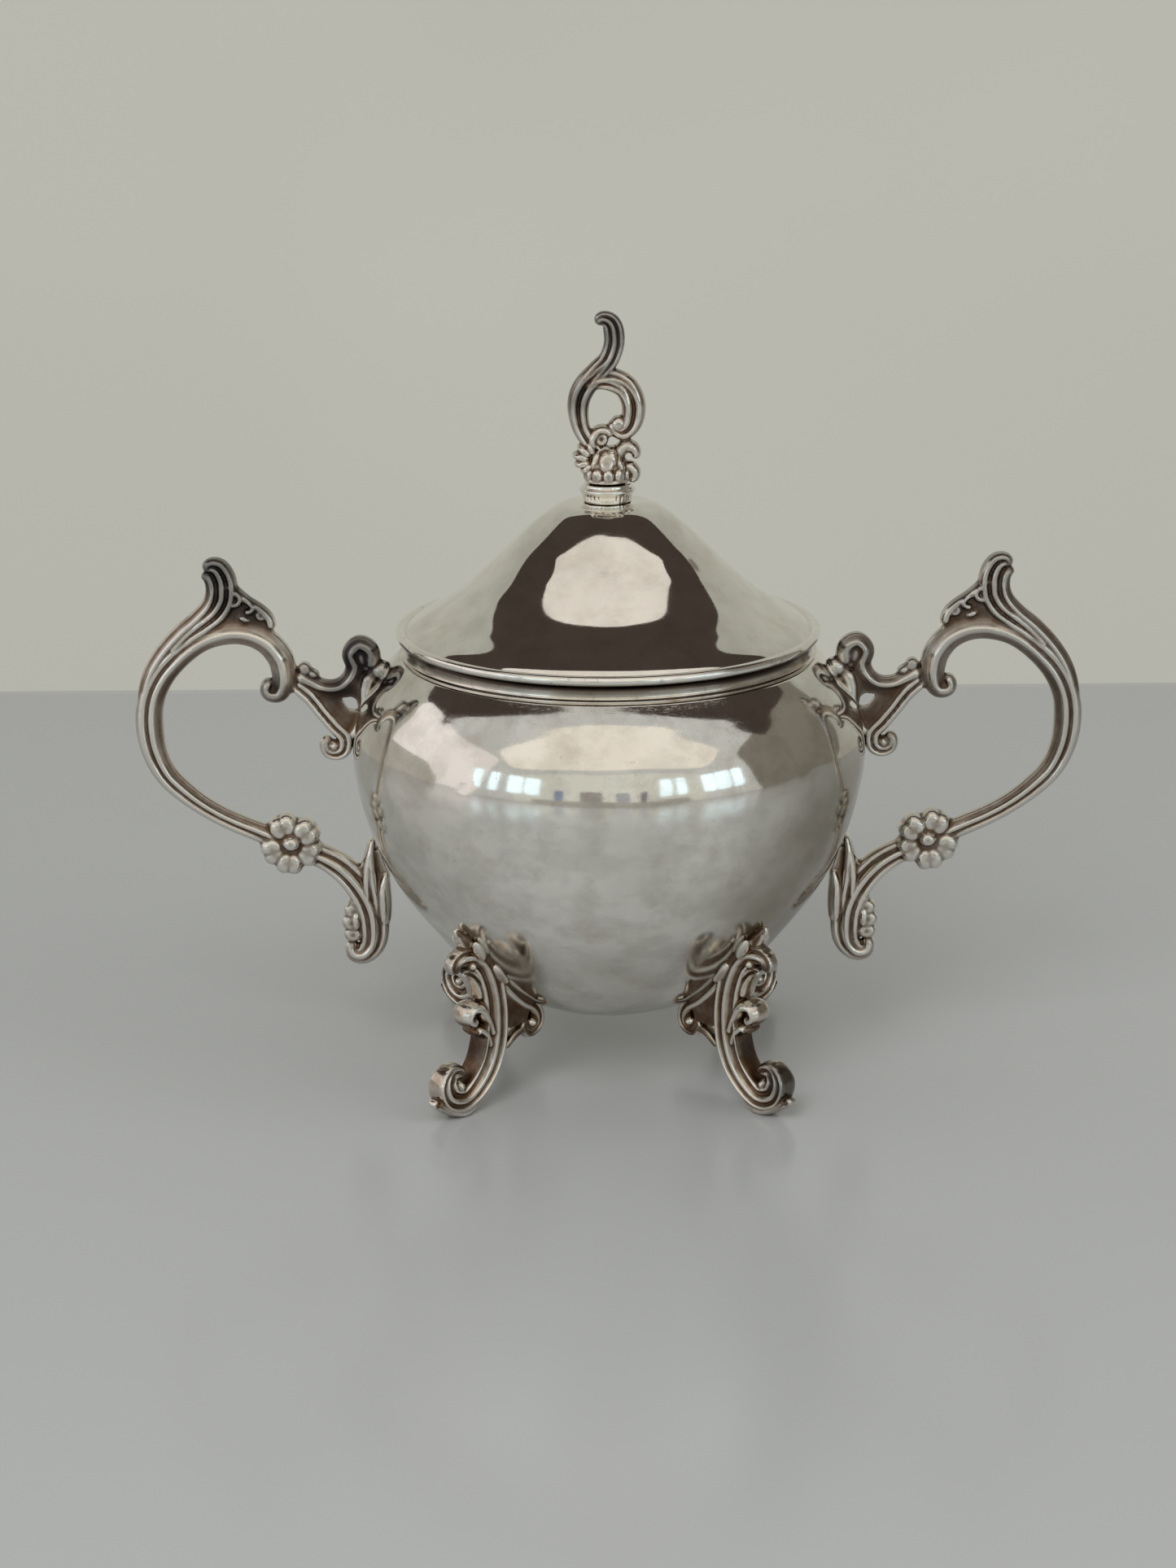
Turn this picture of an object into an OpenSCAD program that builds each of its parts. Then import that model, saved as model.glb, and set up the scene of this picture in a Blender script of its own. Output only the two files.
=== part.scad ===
// Lidded sugar bowl on four scroll feet, with two scroll handles and a ring finial.
// The bowl's axis is Z, the handles lie along X, and the feet stand on z = 0.

/* [Bowl] */
// Radius of the bowl at its widest
belly_r = 57; // [55:0.5:59]
// Height of the flat underside above the table
bowl_base_z = 17.6; // [16:0.1:19]
// Height where the shoulder meets the neck
neck_z = 96.8; // [95:0.1:98]
// Outer radius of the neck band
neck_r = 45.2; // [44:0.1:46]
// Height of the neck band above the shoulder
neck_h = 3.2; // [2.5:0.1:4]
// Thickness of the spun sheet
wall = 1; // [0.8:0.1:1.4]

/* [Lid] */
// Outer radius of the wire around the lid's edge
lid_r = 46.9; // [46:0.1:48]
// Height of the lid's crown above its edge
lid_rise = 30; // [26:0.5:34]
// Depth of the locating flange below the lid's edge
bezel_depth = 4.5; // [3:0.1:6]
// Gap left between the lid and the bowl wherever they would touch
lid_gap = 0.3; // [0.2:0.05:0.5]
// How far the drawing lifts the lid
lid_lift = 0; // [0:1:100]

/* [Finial] */
// Radius of the stud that holds the finial
stud_r = 1.5; // [1.2:0.1:2]
// Radius of the beaded collar under the finial
collar_r = 6.2; // [5.5:0.1:7]
// Height of the collar
collar_h = 4; // [3:0.1:5]

/* [Feet] */
// Distance from the bowl's axis to where each foot stands
foot_r = 45; // [44:0.5:47]
// Radius of the flat pad under each foot
pad_r = 2.6; // [2:0.1:3]

/* [Detail] */
// Sides of the round metal in the handles, feet and finial
strand_sides = 8; // [8:2:12]

/* [Hidden] */

silver = [0.74, 0.73, 0.70];
bright_silver = [0.82, 0.81, 0.78];
dark_silver = [0.42, 0.39, 0.36];
round_fn = 96;
knob_fn = 8;
core_fn = 72;

// How deep the soldered parts reach into the bowl's sheet
solder = 0.3;

// Bowl outline from the edge of the base to the neck, as fractions of belly_r and of the height
bowl_outline = [
    [0.333, 0], [0.458, 0.044], [0.575, 0.109], [0.700, 0.214], [0.835, 0.343], [0.925, 0.473],
    [0.979, 0.604], [1, 0.727], [0.964, 0.847], [0.880, 0.940], [0.805, 1]
];
bowl_steps = 4;

// Lid outline from the rim to the crown, as fractions of lid_r and of lid_rise
lid_outline = [
    [0.965, 0.04], [0.845, 0.167], [0.691, 0.333], [0.550, 0.533], [0.424, 0.733], [0.300, 0.900],
    [0.225, 0.975], [0.150, 1]
];
lid_steps = 3;
lid_edge_z = neck_z + neck_h + lid_gap;
lid_wire_r = 1.15;
crown_z = lid_edge_z + lid_rise;
hole_r = stud_r + 0.2;

washer_r = 4.5;
washer_h = 0.8;
nut_r = 3.1;
nut_h = 2.4;
stud_above = 4;
stud_below = 1;

// Every strand is a list of [outward, up, half width, half depth].
// For the handles, outward is measured from the belly of the bowl.
handle_loop = [
    [16.9, 88.4, 0.5, 1.4], [17.3, 89.2, 0.8, 1.6], [18.1, 88.2, 1.1, 1.9], [17.6, 86.8, 1.2, 2.1],
    [16.0, 86.3, 1.3, 2.2], [14.5, 87.4, 1.5, 2.3], [14.3, 90.5, 1.7, 2.5], [15.0, 94.5, 2.1, 2.6],
    [17.2, 98.6, 2.3, 2.7], [21.5, 101.3, 2.2, 2.7], [27.0, 101.7, 2.2, 2.7], [32.5, 100.2, 2.3, 2.7],
    [37.5, 97.0, 2.6, 2.7], [41.8, 92.0, 2.8, 2.7], [44.5, 86.5, 2.9, 2.7], [45.3, 80.5, 2.9, 2.7],
    [44.5, 74.5, 2.7, 2.6], [42.0, 69.0, 2.4, 2.5], [38.0, 64.7, 2.2, 2.4], [33.0, 60.9, 2.0, 2.4],
    [27.5, 57.8, 2.0, 2.4], [21.0, 55.0, 2.1, 2.4], [14.5, 52.3, 2.2, 2.5], [8.5, 49.8, 2.5, 2.6],
    [3.5, 46.8, 2.9, 2.8], [-0.5, 42.5, 3.1, 2.9], [-3.2, 37.5, 3.1, 2.9], [-4.1, 32.5, 3.0, 2.8],
    [-3.5, 28.5, 2.6, 2.6], [-1.4, 26.1, 2.3, 2.4], [0.9, 26.2, 1.8, 2.1], [1.6, 28.0, 1.3, 1.8],
    [0.4, 29.2, 0.9, 1.5]
];
thumb_scroll = [
    [31.3, 115.2, 0.8, 1.6], [30.2, 116.7, 1.3, 2.0], [28.6, 116.4, 1.7, 2.3], [27.5, 114.4, 2.2, 2.5],
    [27.6, 111.5, 2.7, 2.6], [28.3, 108.6, 2.9, 2.6], [30.8, 105.4, 2.7, 2.5], [34.5, 102.6, 2.4, 2.4],
    [38.5, 99.6, 2.2, 2.3], [42.2, 95.6, 1.9, 2.2], [45.0, 90.8, 1.4, 2.0]
];
bracket_scroll = [
    [12.5, 91.8, 1.3, 2.2], [9.8, 89.6, 1.5, 2.2], [6.0, 87.9, 1.6, 2.2], [2.6, 88.9, 1.7, 2.2],
    [0.4, 91.8, 1.7, 2.2], [0.2, 95.2, 1.7, 2.2], [-1.8, 97.4, 1.8, 2.2], [-4.0, 96.0, 1.7, 2.0],
    [-4.0, 93.6, 1.4, 1.8], [-2.7, 92.9, 0.9, 1.5]
];
bracket_strut = [
    [12.8, 89.6, 1.5, 2.2], [9.3, 86.6, 1.6, 2.2], [6.6, 83.0, 1.5, 2.2], [4.0, 79.8, 1.5, 2.2],
    [1.8, 77.4, 1.6, 2.2], [1.9, 74.5, 1.6, 2.2], [3.8, 73.3, 1.3, 2.1], [5.8, 74.2, 1.3, 2.0],
    [5.9, 76.3, 1.2, 1.8], [4.4, 76.9, 0.8, 1.5]
];
lower_leaf = [[-3.0, 38, 1.6, 2.2], [-2.4, 44, 2.2, 2.6], [-2.8, 49.5, 1.6, 3.2], [-3.4, 54, 0.5, 2.0]];
// Plates that close the narrow corners of the handle
upper_web = [[9, 88.5], [3, 87], [-1, 90], [-3, 88], [-1, 81], [3.5, 79.5], [7, 84]];
thumb_web = [[17, 101.5], [18, 105.5], [24, 109.5], [28, 108], [31, 103.5], [30, 101]];
lower_web = [[0, 45], [-2.5, 52.5], [-5.5, 52.5], [-8, 44.5], [-7, 40.5], [-3, 38]];
web_depth = 1.3;
hole_in_web = [0.5, 84.6];
hole_in_web_r = 1.4;

// Rounded knobs, as [outward, up, radius, half depth]
handle_knobs = [
    [23.3, 108.2, 1.7, 1.2], [21.0, 106.4, 1.4, 1.0], [18.3, 104.7, 1.7, 1.2], [9.6, 93.0, 1.5, 1.0],
    [0.8, 34.5, 2.3, 1.0], [1.6, 38.0, 1.6, 0.8], [-6.0, 92.6, 1.8, 3.0], [-5.2, 47.0, 1.5, 2.6]
];
flower = [14.3, 52.4];
petal_angles = [66, 136, 200, 264, 326];
petal_ring_r = 4.9;
petal_r = 2.5;
petal_lift = 1.6;
button_r = 2.4;
button_lift = 2.8;

// For the feet, outward is measured from the point that each foot stands on.
foot_leg = [
    [2.2, 33.4, 0.8, 1.6], [2.6, 35.4, 1.3, 2.0], [0.2, 36.8, 1.8, 2.4], [-3.8, 35.4, 2.5, 2.7],
    [-6.6, 31.6, 3.3, 2.8], [-8.6, 26.4, 3.9, 2.8], [-9.2, 20.6, 4.3, 2.8], [-8.6, 15.2, 4.4, 2.8],
    [-6.6, 10.2, 4.2, 2.8], [-2.8, 6.2, 3.7, 2.7], [1.8, 4.0, 2.9, 2.6], [5.9, 5.0, 2.3, 2.5],
    [7.3, 8.4, 2.0, 2.3], [5.4, 11.1, 1.6, 2.1], [2.7, 10.3, 1.3, 1.9], [2.2, 8.2, 0.9, 1.6]
];
foot_inner = [
    [-3, 38.0, 1.4, 2.2], [-8, 31.5, 2.0, 2.3], [-13, 26.0, 2.6, 2.4], [-17.6, 22.0, 2.2, 2.4],
    [-21.0, 18.6, 1.7, 2.2], [-21.3, 15.7, 1.5, 2.1], [-19.0, 14.8, 1.3, 2.0], [-17.9, 16.6, 0.9, 1.7]
];
foot_web = [[-5, 33], [-14, 26], [-18, 20.5], [-15.5, 15.5], [-11, 12.5], [-8, 20]];
foot_lip = [[-4, 2.4, 1.2, 2.4], [0, 1.4, 1.0, 2.4], [5, 2.0, 0.9, 2.3], [9.2, 4.8, 0.8, 1.8]];
foot_knobs = [
    [4.2, 7.6, 1.3, 2.2], [-19.6, 16.8, 1.2, 2.2], [-3.8, 33.6, 1.2, 2.6], [-3.0, 22.4, 2.0, 1.6],
    [-4.4, 18.6, 1.5, 1.8], [-4.8, 25.0, 1.7, 1.6]
];
foot_leaf = [[-0.8, 40.4, 1.6], [-2.4, 38.2, 1.9], [-4.4, 35.6, 2.0]];
leaf_spread = 3.2;

// For the finial, outward is measured along X from the lid's axis.
finial_ring_left = [
    [-2.6, 141.6, 1.2, 2.0], [-5.3, 145.0, 1.7, 2.1], [-6.4, 149.4, 1.9, 2.2], [-6.1, 152.8, 2.1, 2.2],
    [-4.7, 155.8, 2.3, 2.3], [-1.9, 158.8, 2.3, 2.3], [0.4, 161.3, 2.1, 2.2], [1.6, 164.5, 2.1, 2.1],
    [1.6, 167.5, 2.1, 2.0], [0.8, 169.5, 1.9, 1.9], [-0.9, 170.4, 1.5, 1.7], [-2.4, 169.4, 0.9, 1.3]
];
finial_ring_right = [
    [-4.6, 155.4, 1.2, 1.8], [-2.2, 157.0, 1.7, 2.1], [1.1, 157.0, 2.3, 2.3], [4.2, 155.4, 2.4, 2.4],
    [5.8, 152.2, 2.4, 2.4], [5.8, 149.0, 2.3, 2.3], [4.8, 146.6, 1.9, 2.2], [3.1, 145.7, 1.6, 2.1],
    [1.5, 146.6, 1.2, 1.8], [1.8, 148.2, 0.9, 1.5]
];
finial_knobs = [
    [-5.6, 141.4, 2.4, 1.6], [-5.8, 138.4, 2.4, 1.8], [5.2, 141.9, 2.2, 1.4], [4.9, 136.8, 2.2, 1.6],
    [0.3, 142.6, 2.0, 3.4], [-2.8, 137.2, 2.0, 4.0], [2.8, 137.2, 2.0, 4.0], [0, 139.6, 2.1, 4.2]
];

// A point between b and c on the smooth curve through a, b, c and d
function between(a, b, c, d, t) =
    0.5 * (2 * b + (c - a) * t + (2 * a - 5 * b + 4 * c - d) * t * t
    + (3 * b - a - 3 * c + d) * t * t * t);

// The smooth curve through a list of points, with steps points for each stretch
function smooth(pts, steps) = let (last = len(pts) - 1) [
    for (i = [0 : last - 1])
        for (k = [0 : steps - 1])
            between(pts[max(i - 1, 0)], pts[i], pts[i + 1], pts[min(i + 2, last)], k / steps),
    pts[last]
];

// The direction of a planar curve at one of its points
function heading(pts, i) =
    let (d = pts[min(i + 1, len(pts) - 1)] - pts[max(i - 1, 0)], l = norm([d[0], d[1]]))
    [d[0] / l, d[1] / l];

// An outline moved inward by the wall's thickness
function inset(pts, by) = [
    for (i = [0 : len(pts) - 1])
        let (h = heading(pts, i)) [max(pts[i][0] - by * h[1], 0), pts[i][1] + by * h[0]]
];

function ring_points(p, h, sides) = [
    for (k = [0 : sides - 1])
        let (a = 360 * k / sides)
        [p[0] - h[1] * p[2] * cos(a), p[3] * sin(a), p[1] + h[0] * p[2] * cos(a)]
];

function reversed(v) = [for (i = [len(v) - 1 : -1 : 0]) v[i]];

// A bent strand of oval section in the XZ plane
module strand(points, steps = 2) {
    path = smooth(points, steps);
    sides = strand_sides;
    last = len(path) - 1;
    rings = [for (i = [0 : last]) each ring_points(path[i], heading(path, i), sides)];
    walls = [
        for (i = [0 : last - 1])
            for (k = [0 : sides - 1])
                let (a = i * sides + k, b = i * sides + (k + 1) % sides)
                each [[a, b, b + sides], [a, b + sides, a + sides]]
    ];
    first_cap = [for (k = [0 : sides - 1]) k];
    last_cap = [for (k = [0 : sides - 1]) last * sides + k];
    polyhedron(rings, concat(walls, [reversed(first_cap), last_cap]));
}

// A knob that stands out on both faces of a casting
module knob(k) {
    hull() {
        for (side = [-1, 1]) {
            translate([k[0], side * k[3], k[1]])
                sphere(k[2], $fn = knob_fn);
        }
    }
}

module plate(outline, depth) {
    rotate([90, 0, 0])
        linear_extrude(2 * depth, center = true)
            polygon(outline);
}

bowl_h = neck_z - bowl_base_z;
bowl_curve = smooth([for (p = bowl_outline) [p[0] * belly_r, bowl_base_z + p[1] * bowl_h]], bowl_steps);
lid_curve = smooth([for (p = lid_outline) [p[0] * lid_r, lid_edge_z + p[1] * lid_rise]], lid_steps);

// The bowl as one solid, less the depth of the solder
module bowl_core() {
    rotate_extrude($fn = core_fn)
        polygon(concat([[0, bowl_base_z + solder]], inset(bowl_curve, solder), [[0, neck_z]]));
}

module bowl_shell() {
    inner = inset(bowl_curve, wall);
    color(silver)
        rotate_extrude($fn = round_fn)
            polygon(concat([[0, bowl_base_z]], bowl_curve, reversed(inner), [[0, bowl_base_z + wall]]));
}

module neck_band() {
    ridge = 0.5;
    color(bright_silver)
        rotate_extrude($fn = round_fn)
            polygon([
                [neck_r - wall, neck_z - 0.6], [neck_r + 0.4, neck_z - 0.6], [neck_r + ridge + 0.3, neck_z - 0.2],
                [neck_r + ridge + 0.3, neck_z + 0.2], [neck_r, neck_z + ridge], [neck_r, neck_z + neck_h],
                [neck_r - wall, neck_z + neck_h]
            ]);
}

module petals() {
    for (a = petal_angles) {
        knob([flower[0] + petal_ring_r * cos(a), flower[1] + petal_ring_r * sin(a), petal_r, petal_lift]);
    }
    knob([flower[0], flower[1], button_r, button_lift]);
}

module handle() {
    difference() {
        translate([belly_r, 0, 0]) {
            strand(handle_loop);
            strand(thumb_scroll);
            strand(bracket_scroll);
            strand(bracket_strut);
            strand(lower_leaf);
            difference() {
                plate(upper_web, web_depth);
                translate([hole_in_web[0], 0, hole_in_web[1]])
                    rotate([90, 0, 0])
                        cylinder(r = hole_in_web_r, h = 4 * web_depth, center = true, $fn = 24);
            }
            plate(thumb_web, web_depth);
            plate(lower_web, web_depth);
            for (k = handle_knobs) {
                knob(k);
            }
            petals();
        }
        bowl_core();
    }
}

module handle_left() {
    color(silver)
        mirror([1, 0, 0])
            handle();
}

module handle_right() {
    color(silver)
        handle();
}

// The leaf at the top of a foot, which lies on the bowl
module foot_leaf_lobes() {
    for (p = foot_leaf) {
        hull() {
            for (side = [-1, 1]) {
                translate([p[0], side * leaf_spread * p[2] / 2, p[1]])
                    sphere(p[2], $fn = knob_fn);
            }
        }
    }
}

module foot(angle) {
    color(silver)
        rotate([0, 0, angle])
            difference() {
                translate([foot_r, 0, 0]) {
                    strand(foot_leg);
                    strand(foot_inner);
                    strand(foot_lip);
                    plate(foot_web, web_depth);
                    for (k = foot_knobs) {
                        knob(k);
                    }
                    foot_leaf_lobes();
                    cylinder(r = pad_r, h = 2, $fn = 32);
                }
                bowl_core();
                translate([foot_r, 0, -5])
                    cube([60, 60, 10], center = true);
            }
}

module foot_front_left() {
    foot(225);
}

module foot_front_right() {
    foot(315);
}

module foot_rear_left() {
    foot(135);
}

module foot_rear_right() {
    foot(45);
}

module lid_shell() {
    inner = inset(lid_curve, wall);
    color(silver)
        translate([0, 0, lid_lift])
            rotate_extrude($fn = round_fn)
                polygon(concat(
                    lid_curve,
                    [[hole_r, crown_z], [hole_r, crown_z - wall]],
                    reversed(inner)
                ));
}

module lid_rim_wire() {
    color(bright_silver)
        translate([0, 0, lid_lift + lid_edge_z + lid_wire_r])
            rotate_extrude($fn = round_fn)
                translate([lid_r - lid_wire_r, 0])
                    circle(lid_wire_r, $fn = 24);
}

module lid_bezel() {
    bezel_r = neck_r - wall - lid_gap;
    color(silver)
        translate([0, 0, lid_lift + lid_edge_z - bezel_depth])
            difference() {
                cylinder(r = bezel_r, h = bezel_depth + 1.6, $fn = round_fn);
                translate([0, 0, -1])
                    cylinder(r = bezel_r - wall, h = bezel_depth + 4, $fn = round_fn);
            }
}

module finial_collar() {
    bead = collar_h * 0.3;
    foot_bead = collar_h * 0.35;
    color(bright_silver)
        translate([0, 0, lid_lift + crown_z])
            difference() {
                union() {
                    cylinder(r = collar_r - 0.6, h = collar_h, $fn = round_fn);
                    translate([0, 0, foot_bead])
                        rotate_extrude($fn = round_fn)
                            translate([collar_r - foot_bead, 0])
                                circle(foot_bead, $fn = 24);
                    translate([0, 0, collar_h - bead])
                        rotate_extrude($fn = round_fn)
                            translate([collar_r - 0.4 - bead, 0])
                                circle(bead, $fn = 24);
                }
                translate([0, 0, -1])
                    cylinder(r = hole_r, h = collar_h + 2, $fn = 48);
            }
}

module finial() {
    base_z = crown_z + collar_h;
    color(dark_silver)
        translate([0, 0, lid_lift])
            difference() {
                union() {
                    strand(finial_ring_left);
                    strand(finial_ring_right);
                    for (k = finial_knobs) {
                        knob(k);
                    }
                    translate([0, 0, base_z])
                        cylinder(r1 = collar_r - 1, r2 = 3, h = 142 - base_z, $fn = 24);
                }
                translate([0, 0, base_z - 10])
                    cube([30, 30, 20], center = true);
                translate([0, 0, base_z - 1])
                    cylinder(r = stud_r, h = stud_above + 1, $fn = 32);
            }
}

module finial_stud() {
    z0 = crown_z - wall - washer_h - nut_h - stud_below;
    color(dark_silver)
        translate([0, 0, lid_lift + z0])
            cylinder(r = stud_r, h = crown_z + collar_h + stud_above - z0, $fn = 48);
}

module finial_washer() {
    color(dark_silver)
        translate([0, 0, lid_lift + crown_z - wall - washer_h])
            difference() {
                cylinder(r = washer_r, h = washer_h, $fn = 48);
                translate([0, 0, -1])
                    cylinder(r = hole_r, h = washer_h + 2, $fn = 48);
            }
}

module finial_nut() {
    color(dark_silver)
        translate([0, 0, lid_lift + crown_z - wall - washer_h - nut_h])
            difference() {
                cylinder(r = nut_r, h = nut_h, $fn = 6);
                translate([0, 0, -1])
                    cylinder(r = stud_r, h = nut_h + 2, $fn = 48);
            }
}

bowl_shell();
neck_band();
handle_left();
handle_right();
foot_front_left();
foot_front_right();
foot_rear_left();
foot_rear_right();
lid_shell();
lid_rim_wire();
lid_bezel();
finial_collar();
finial();
finial_stud();
finial_washer();
finial_nut();
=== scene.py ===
"""Lidded sugar bowl in silver plate: spun bowl and lid, cast handles, feet and ring finial."""
import math

import bmesh
import bpy
import numpy as np
from mathutils import Matrix, Vector


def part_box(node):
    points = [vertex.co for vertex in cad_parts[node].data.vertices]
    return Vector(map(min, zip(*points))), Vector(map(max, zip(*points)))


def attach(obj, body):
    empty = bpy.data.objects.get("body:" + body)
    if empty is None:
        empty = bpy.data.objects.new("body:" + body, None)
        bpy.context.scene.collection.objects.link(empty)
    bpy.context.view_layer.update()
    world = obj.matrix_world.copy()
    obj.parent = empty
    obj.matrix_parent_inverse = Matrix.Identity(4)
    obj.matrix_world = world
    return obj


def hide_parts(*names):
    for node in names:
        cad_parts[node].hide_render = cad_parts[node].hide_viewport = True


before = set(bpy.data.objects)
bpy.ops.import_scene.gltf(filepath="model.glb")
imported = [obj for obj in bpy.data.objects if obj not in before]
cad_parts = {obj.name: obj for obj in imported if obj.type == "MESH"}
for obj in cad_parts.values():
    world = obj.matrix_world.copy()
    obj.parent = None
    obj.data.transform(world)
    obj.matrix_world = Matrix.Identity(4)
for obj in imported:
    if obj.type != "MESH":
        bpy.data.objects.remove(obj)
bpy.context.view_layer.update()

MM = 0.001
TAU = 2 * math.pi
# Directions in a casting's own plane
OUTWARD, FRONT, UP = (1, 0, 0), (0, 1, 0), (0, 0, 1)

# ------ curves and closed shapes, in millimetres


def smooth_rows(rows, step):
    """Rows of numbers joined by a smooth curve and spaced step apart along their first two columns.
    The last column added is where each new row lies, counted in old rows."""
    rows = np.array(rows, float)
    rows = np.column_stack([rows, np.arange(len(rows))])
    pieces = []
    for i in range(len(rows) - 1):
        a, b, c, d = rows[max(i - 1, 0)], rows[i], rows[i + 1], rows[min(i + 2, len(rows) - 1)]
        t = np.linspace(0, 1, 20, endpoint=False)[:, None]
        square, cube = (2 * a - 5 * b + 4 * c - d) * t**2, (3 * b - a - 3 * c + d) * t**3
        pieces.append(0.5 * (2 * b + (c - a) * t + square + cube))
    dense = np.vstack(pieces + [rows[-1:]])
    steps = np.linalg.norm(np.diff(dense[:, :2], axis=0), axis=1)
    along = np.concatenate([[0], np.cumsum(steps)])
    at = np.linspace(0, along[-1], max(4, int(round(along[-1] / step))) + 1)
    return np.column_stack([np.interp(at, along, column) for column in dense.T]), at


def mirrored(half):
    """A symmetric face from its right half, which starts in the middle."""
    return [[-x, height] for x, height in half[:0:-1]] + half


# Faces of a cast strand: height at places across it, both from -1 to 1
ROUND = mirrored([[0, 1], [.2, .98], [.45, .9], [.7, .72], [.87, .5], [.96, .3], [1, 0]])
LOOP_FACE = [
    [-1, 0], [-.97, .3], [-.9, .42], [-.7, .52], [-.52, .68], [-.4, .92], [-.28, 1], [-.12, .98],
    [0, .86], [.09, .64], [.15, .6], [.22, .66], [.35, .84], [.52, .86], [.72, .74], [.88, .52],
    [.96, .3], [1, 0],
]
TWO_RIDGES = mirrored([
    [0, .54], [.08, .6], [.22, .86], [.42, .98], [.62, .92], [.86, .62], [.96, .35], [1, 0],
])
THREE_RIDGES = mirrored([
    [0, 1], [.18, .92], [.33, .62], [.4, .56], [.46, .58], [.58, .7], [.72, .72], [.88, .56],
    [.97, .32], [1, 0],
])
SHOULDERED = [
    [-1, 0], [-.97, .36], [-.86, .52], [-.62, .6], [-.42, .72], [-.24, .93], [0, 1], [.2, .92],
    [.38, .72], [.6, .58], [.86, .5], [.97, .34], [1, 0],
]
RIMMED = mirrored([
    [0, 1], [.25, .95], [.46, .66], [.56, .55], [.64, .6], [.76, .7], [.88, .62], [.97, .36],
    [1, 0],
])
LEG_FACE = [
    [-1, 0], [-.985, .5], [-.94, .8], [-.84, .98], [-.74, .95], [-.6, .74], [-.5, .68], [-.4, .74],
    [-.24, .97], [-.1, 1], [.04, .95], [.2, .74], [.36, .62], [.5, .66], [.66, .92], [.8, 1],
    [.92, .86], [.98, .5], [1, 0],
]
SWELL = 0.16  # added all round, because fusing and softening take that much away


STRAND_STEP = 0.3
FACE_PARTS = 30


def strand(points, faces=((0, ROUND),)):
    """A cast strand through [outward, up, half width, half depth], with rounded ends.
    faces gives (point, face): the section changes from one to the next along the strand."""
    row, along = smooth_rows(points, STRAND_STEP)
    centre, width, depth, where = row[:, :2], row[:, 2] + SWELL, row[:, 3] + 0.5 * SWELL, row[:, 4]
    tangent = np.gradient(centre, axis=0)
    tangent /= np.linalg.norm(tangent, axis=1)[:, None]
    normal = np.column_stack([-tangent[:, 1], tangent[:, 0]])
    to_end = np.minimum(along, along[-1] - along) / np.maximum(width, 0.1)
    tip = np.sqrt(np.clip(1 - (1 - np.clip(to_end, 0, 1)) ** 2, 0.01, 1))
    across = -np.cos(math.pi * np.arange(FACE_PARTS + 1) / FACE_PARTS)
    heights = np.array([np.interp(across, *np.array(face).T) for _, face in faces])
    starts = np.array([start for start, _ in faces], float)
    face = np.column_stack([np.interp(where, starts, column) for column in heights.T])
    t = np.concatenate([across, across[-2:0:-1]])
    y = np.concatenate([face, -face[:, -2:0:-1]], axis=1) * (depth * tip)[:, None]
    sideways = t[None, :] * (width * tip)[:, None]
    flat = centre[:, None, :] + normal[:, None, :] * sideways[:, :, None]
    rings = np.stack([flat[:, :, 0], y, flat[:, :, 1]], axis=2)
    return tube(rings)


def tube(rings):
    """Closed skin over rings of points, with a point closing each end."""
    n, k = rings.shape[:2]
    verts = np.vstack([rings.reshape(-1, 3), rings[0].mean(0), rings[-1].mean(0)])
    i, j = np.meshgrid(np.arange(n - 1), np.arange(k), indexing="ij")
    a, b = i * k + j, i * k + (j + 1) % k
    quads = np.stack([a, a + k, b + k, b], axis=2).reshape(-1, 4)
    j = np.arange(k)
    start = np.column_stack([np.full(k, n * k), j, (j + 1) % k])
    last = (n - 1) * k
    end = np.column_stack([np.full(k, n * k + 1), last + (j + 1) % k, last + j])
    return verts, quads.tolist() + start.tolist() + end.tolist()


def lobe(centre, out, up, size, dish=0.0, crown=0.5):
    """A rounded lobe facing along out and back, half sizes (across, up, out).
    dish hollows both faces; a smaller crown makes them flatter, with a rounder edge."""
    out, up = Vector(out).normalized(), Vector(up)
    up = (up - out * up.dot(out)).normalized()
    across = up.cross(out)
    rho = np.sin(np.linspace(0.02, 1, 14) * math.pi / 2)
    theta = np.arange(36) * TAU / 36
    height = np.clip(1 - rho**2, 0, 1) ** crown - dish * np.exp(-((rho / 0.5) ** 2))
    rows = list(zip(rho, height)) + list(zip(rho[-2::-1], -height[-2::-1]))
    ring = np.stack([np.cos(theta), np.sin(theta)], axis=1)
    frame3, size, centre = np.array([across, up, out]), np.array(size), np.array(centre)
    rings = np.array([
        np.column_stack([ring * r, np.full(len(theta), h)]) * size @ frame3 + centre
        for r, h in rows
    ])
    return tube(rings)


def curl(u, v, radius, width, depth, start, sweep):
    """A small open ring round a hollow. Angles in degrees, from outward toward up."""
    turn = np.radians(np.linspace(start, start + sweep, 7))
    circle = [(u + radius * math.cos(a), v + radius * math.sin(a)) for a in turn]
    return strand([[*point, width, depth] for point in circle])


def bead(u, v, r, depth):
    """A round bead at outward u and up v, reaching depth times its radius to the front and back."""
    return lobe((u, 0, v), FRONT, UP, (r, r, r * depth))


def plate(outline, depth):
    """A flat web between strands: a prism through [outward, up] points."""
    ring = np.array(outline, float)
    turn = np.sum(ring[:, 0] * np.roll(ring[:, 1], -1) - np.roll(ring[:, 0], -1) * ring[:, 1])
    ring = ring if turn > 0 else ring[::-1]
    front = np.column_stack([ring[:, 0], np.full(len(ring), -depth), ring[:, 1]])
    back = front + [0, 2 * depth, 0]
    n = len(ring)
    sides = [[i, (i + 1) % n, n + (i + 1) % n, n + i] for i in range(n)]
    return np.vstack([front, back]), [list(range(n))[::-1], list(range(n, 2 * n))] + sides


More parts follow.
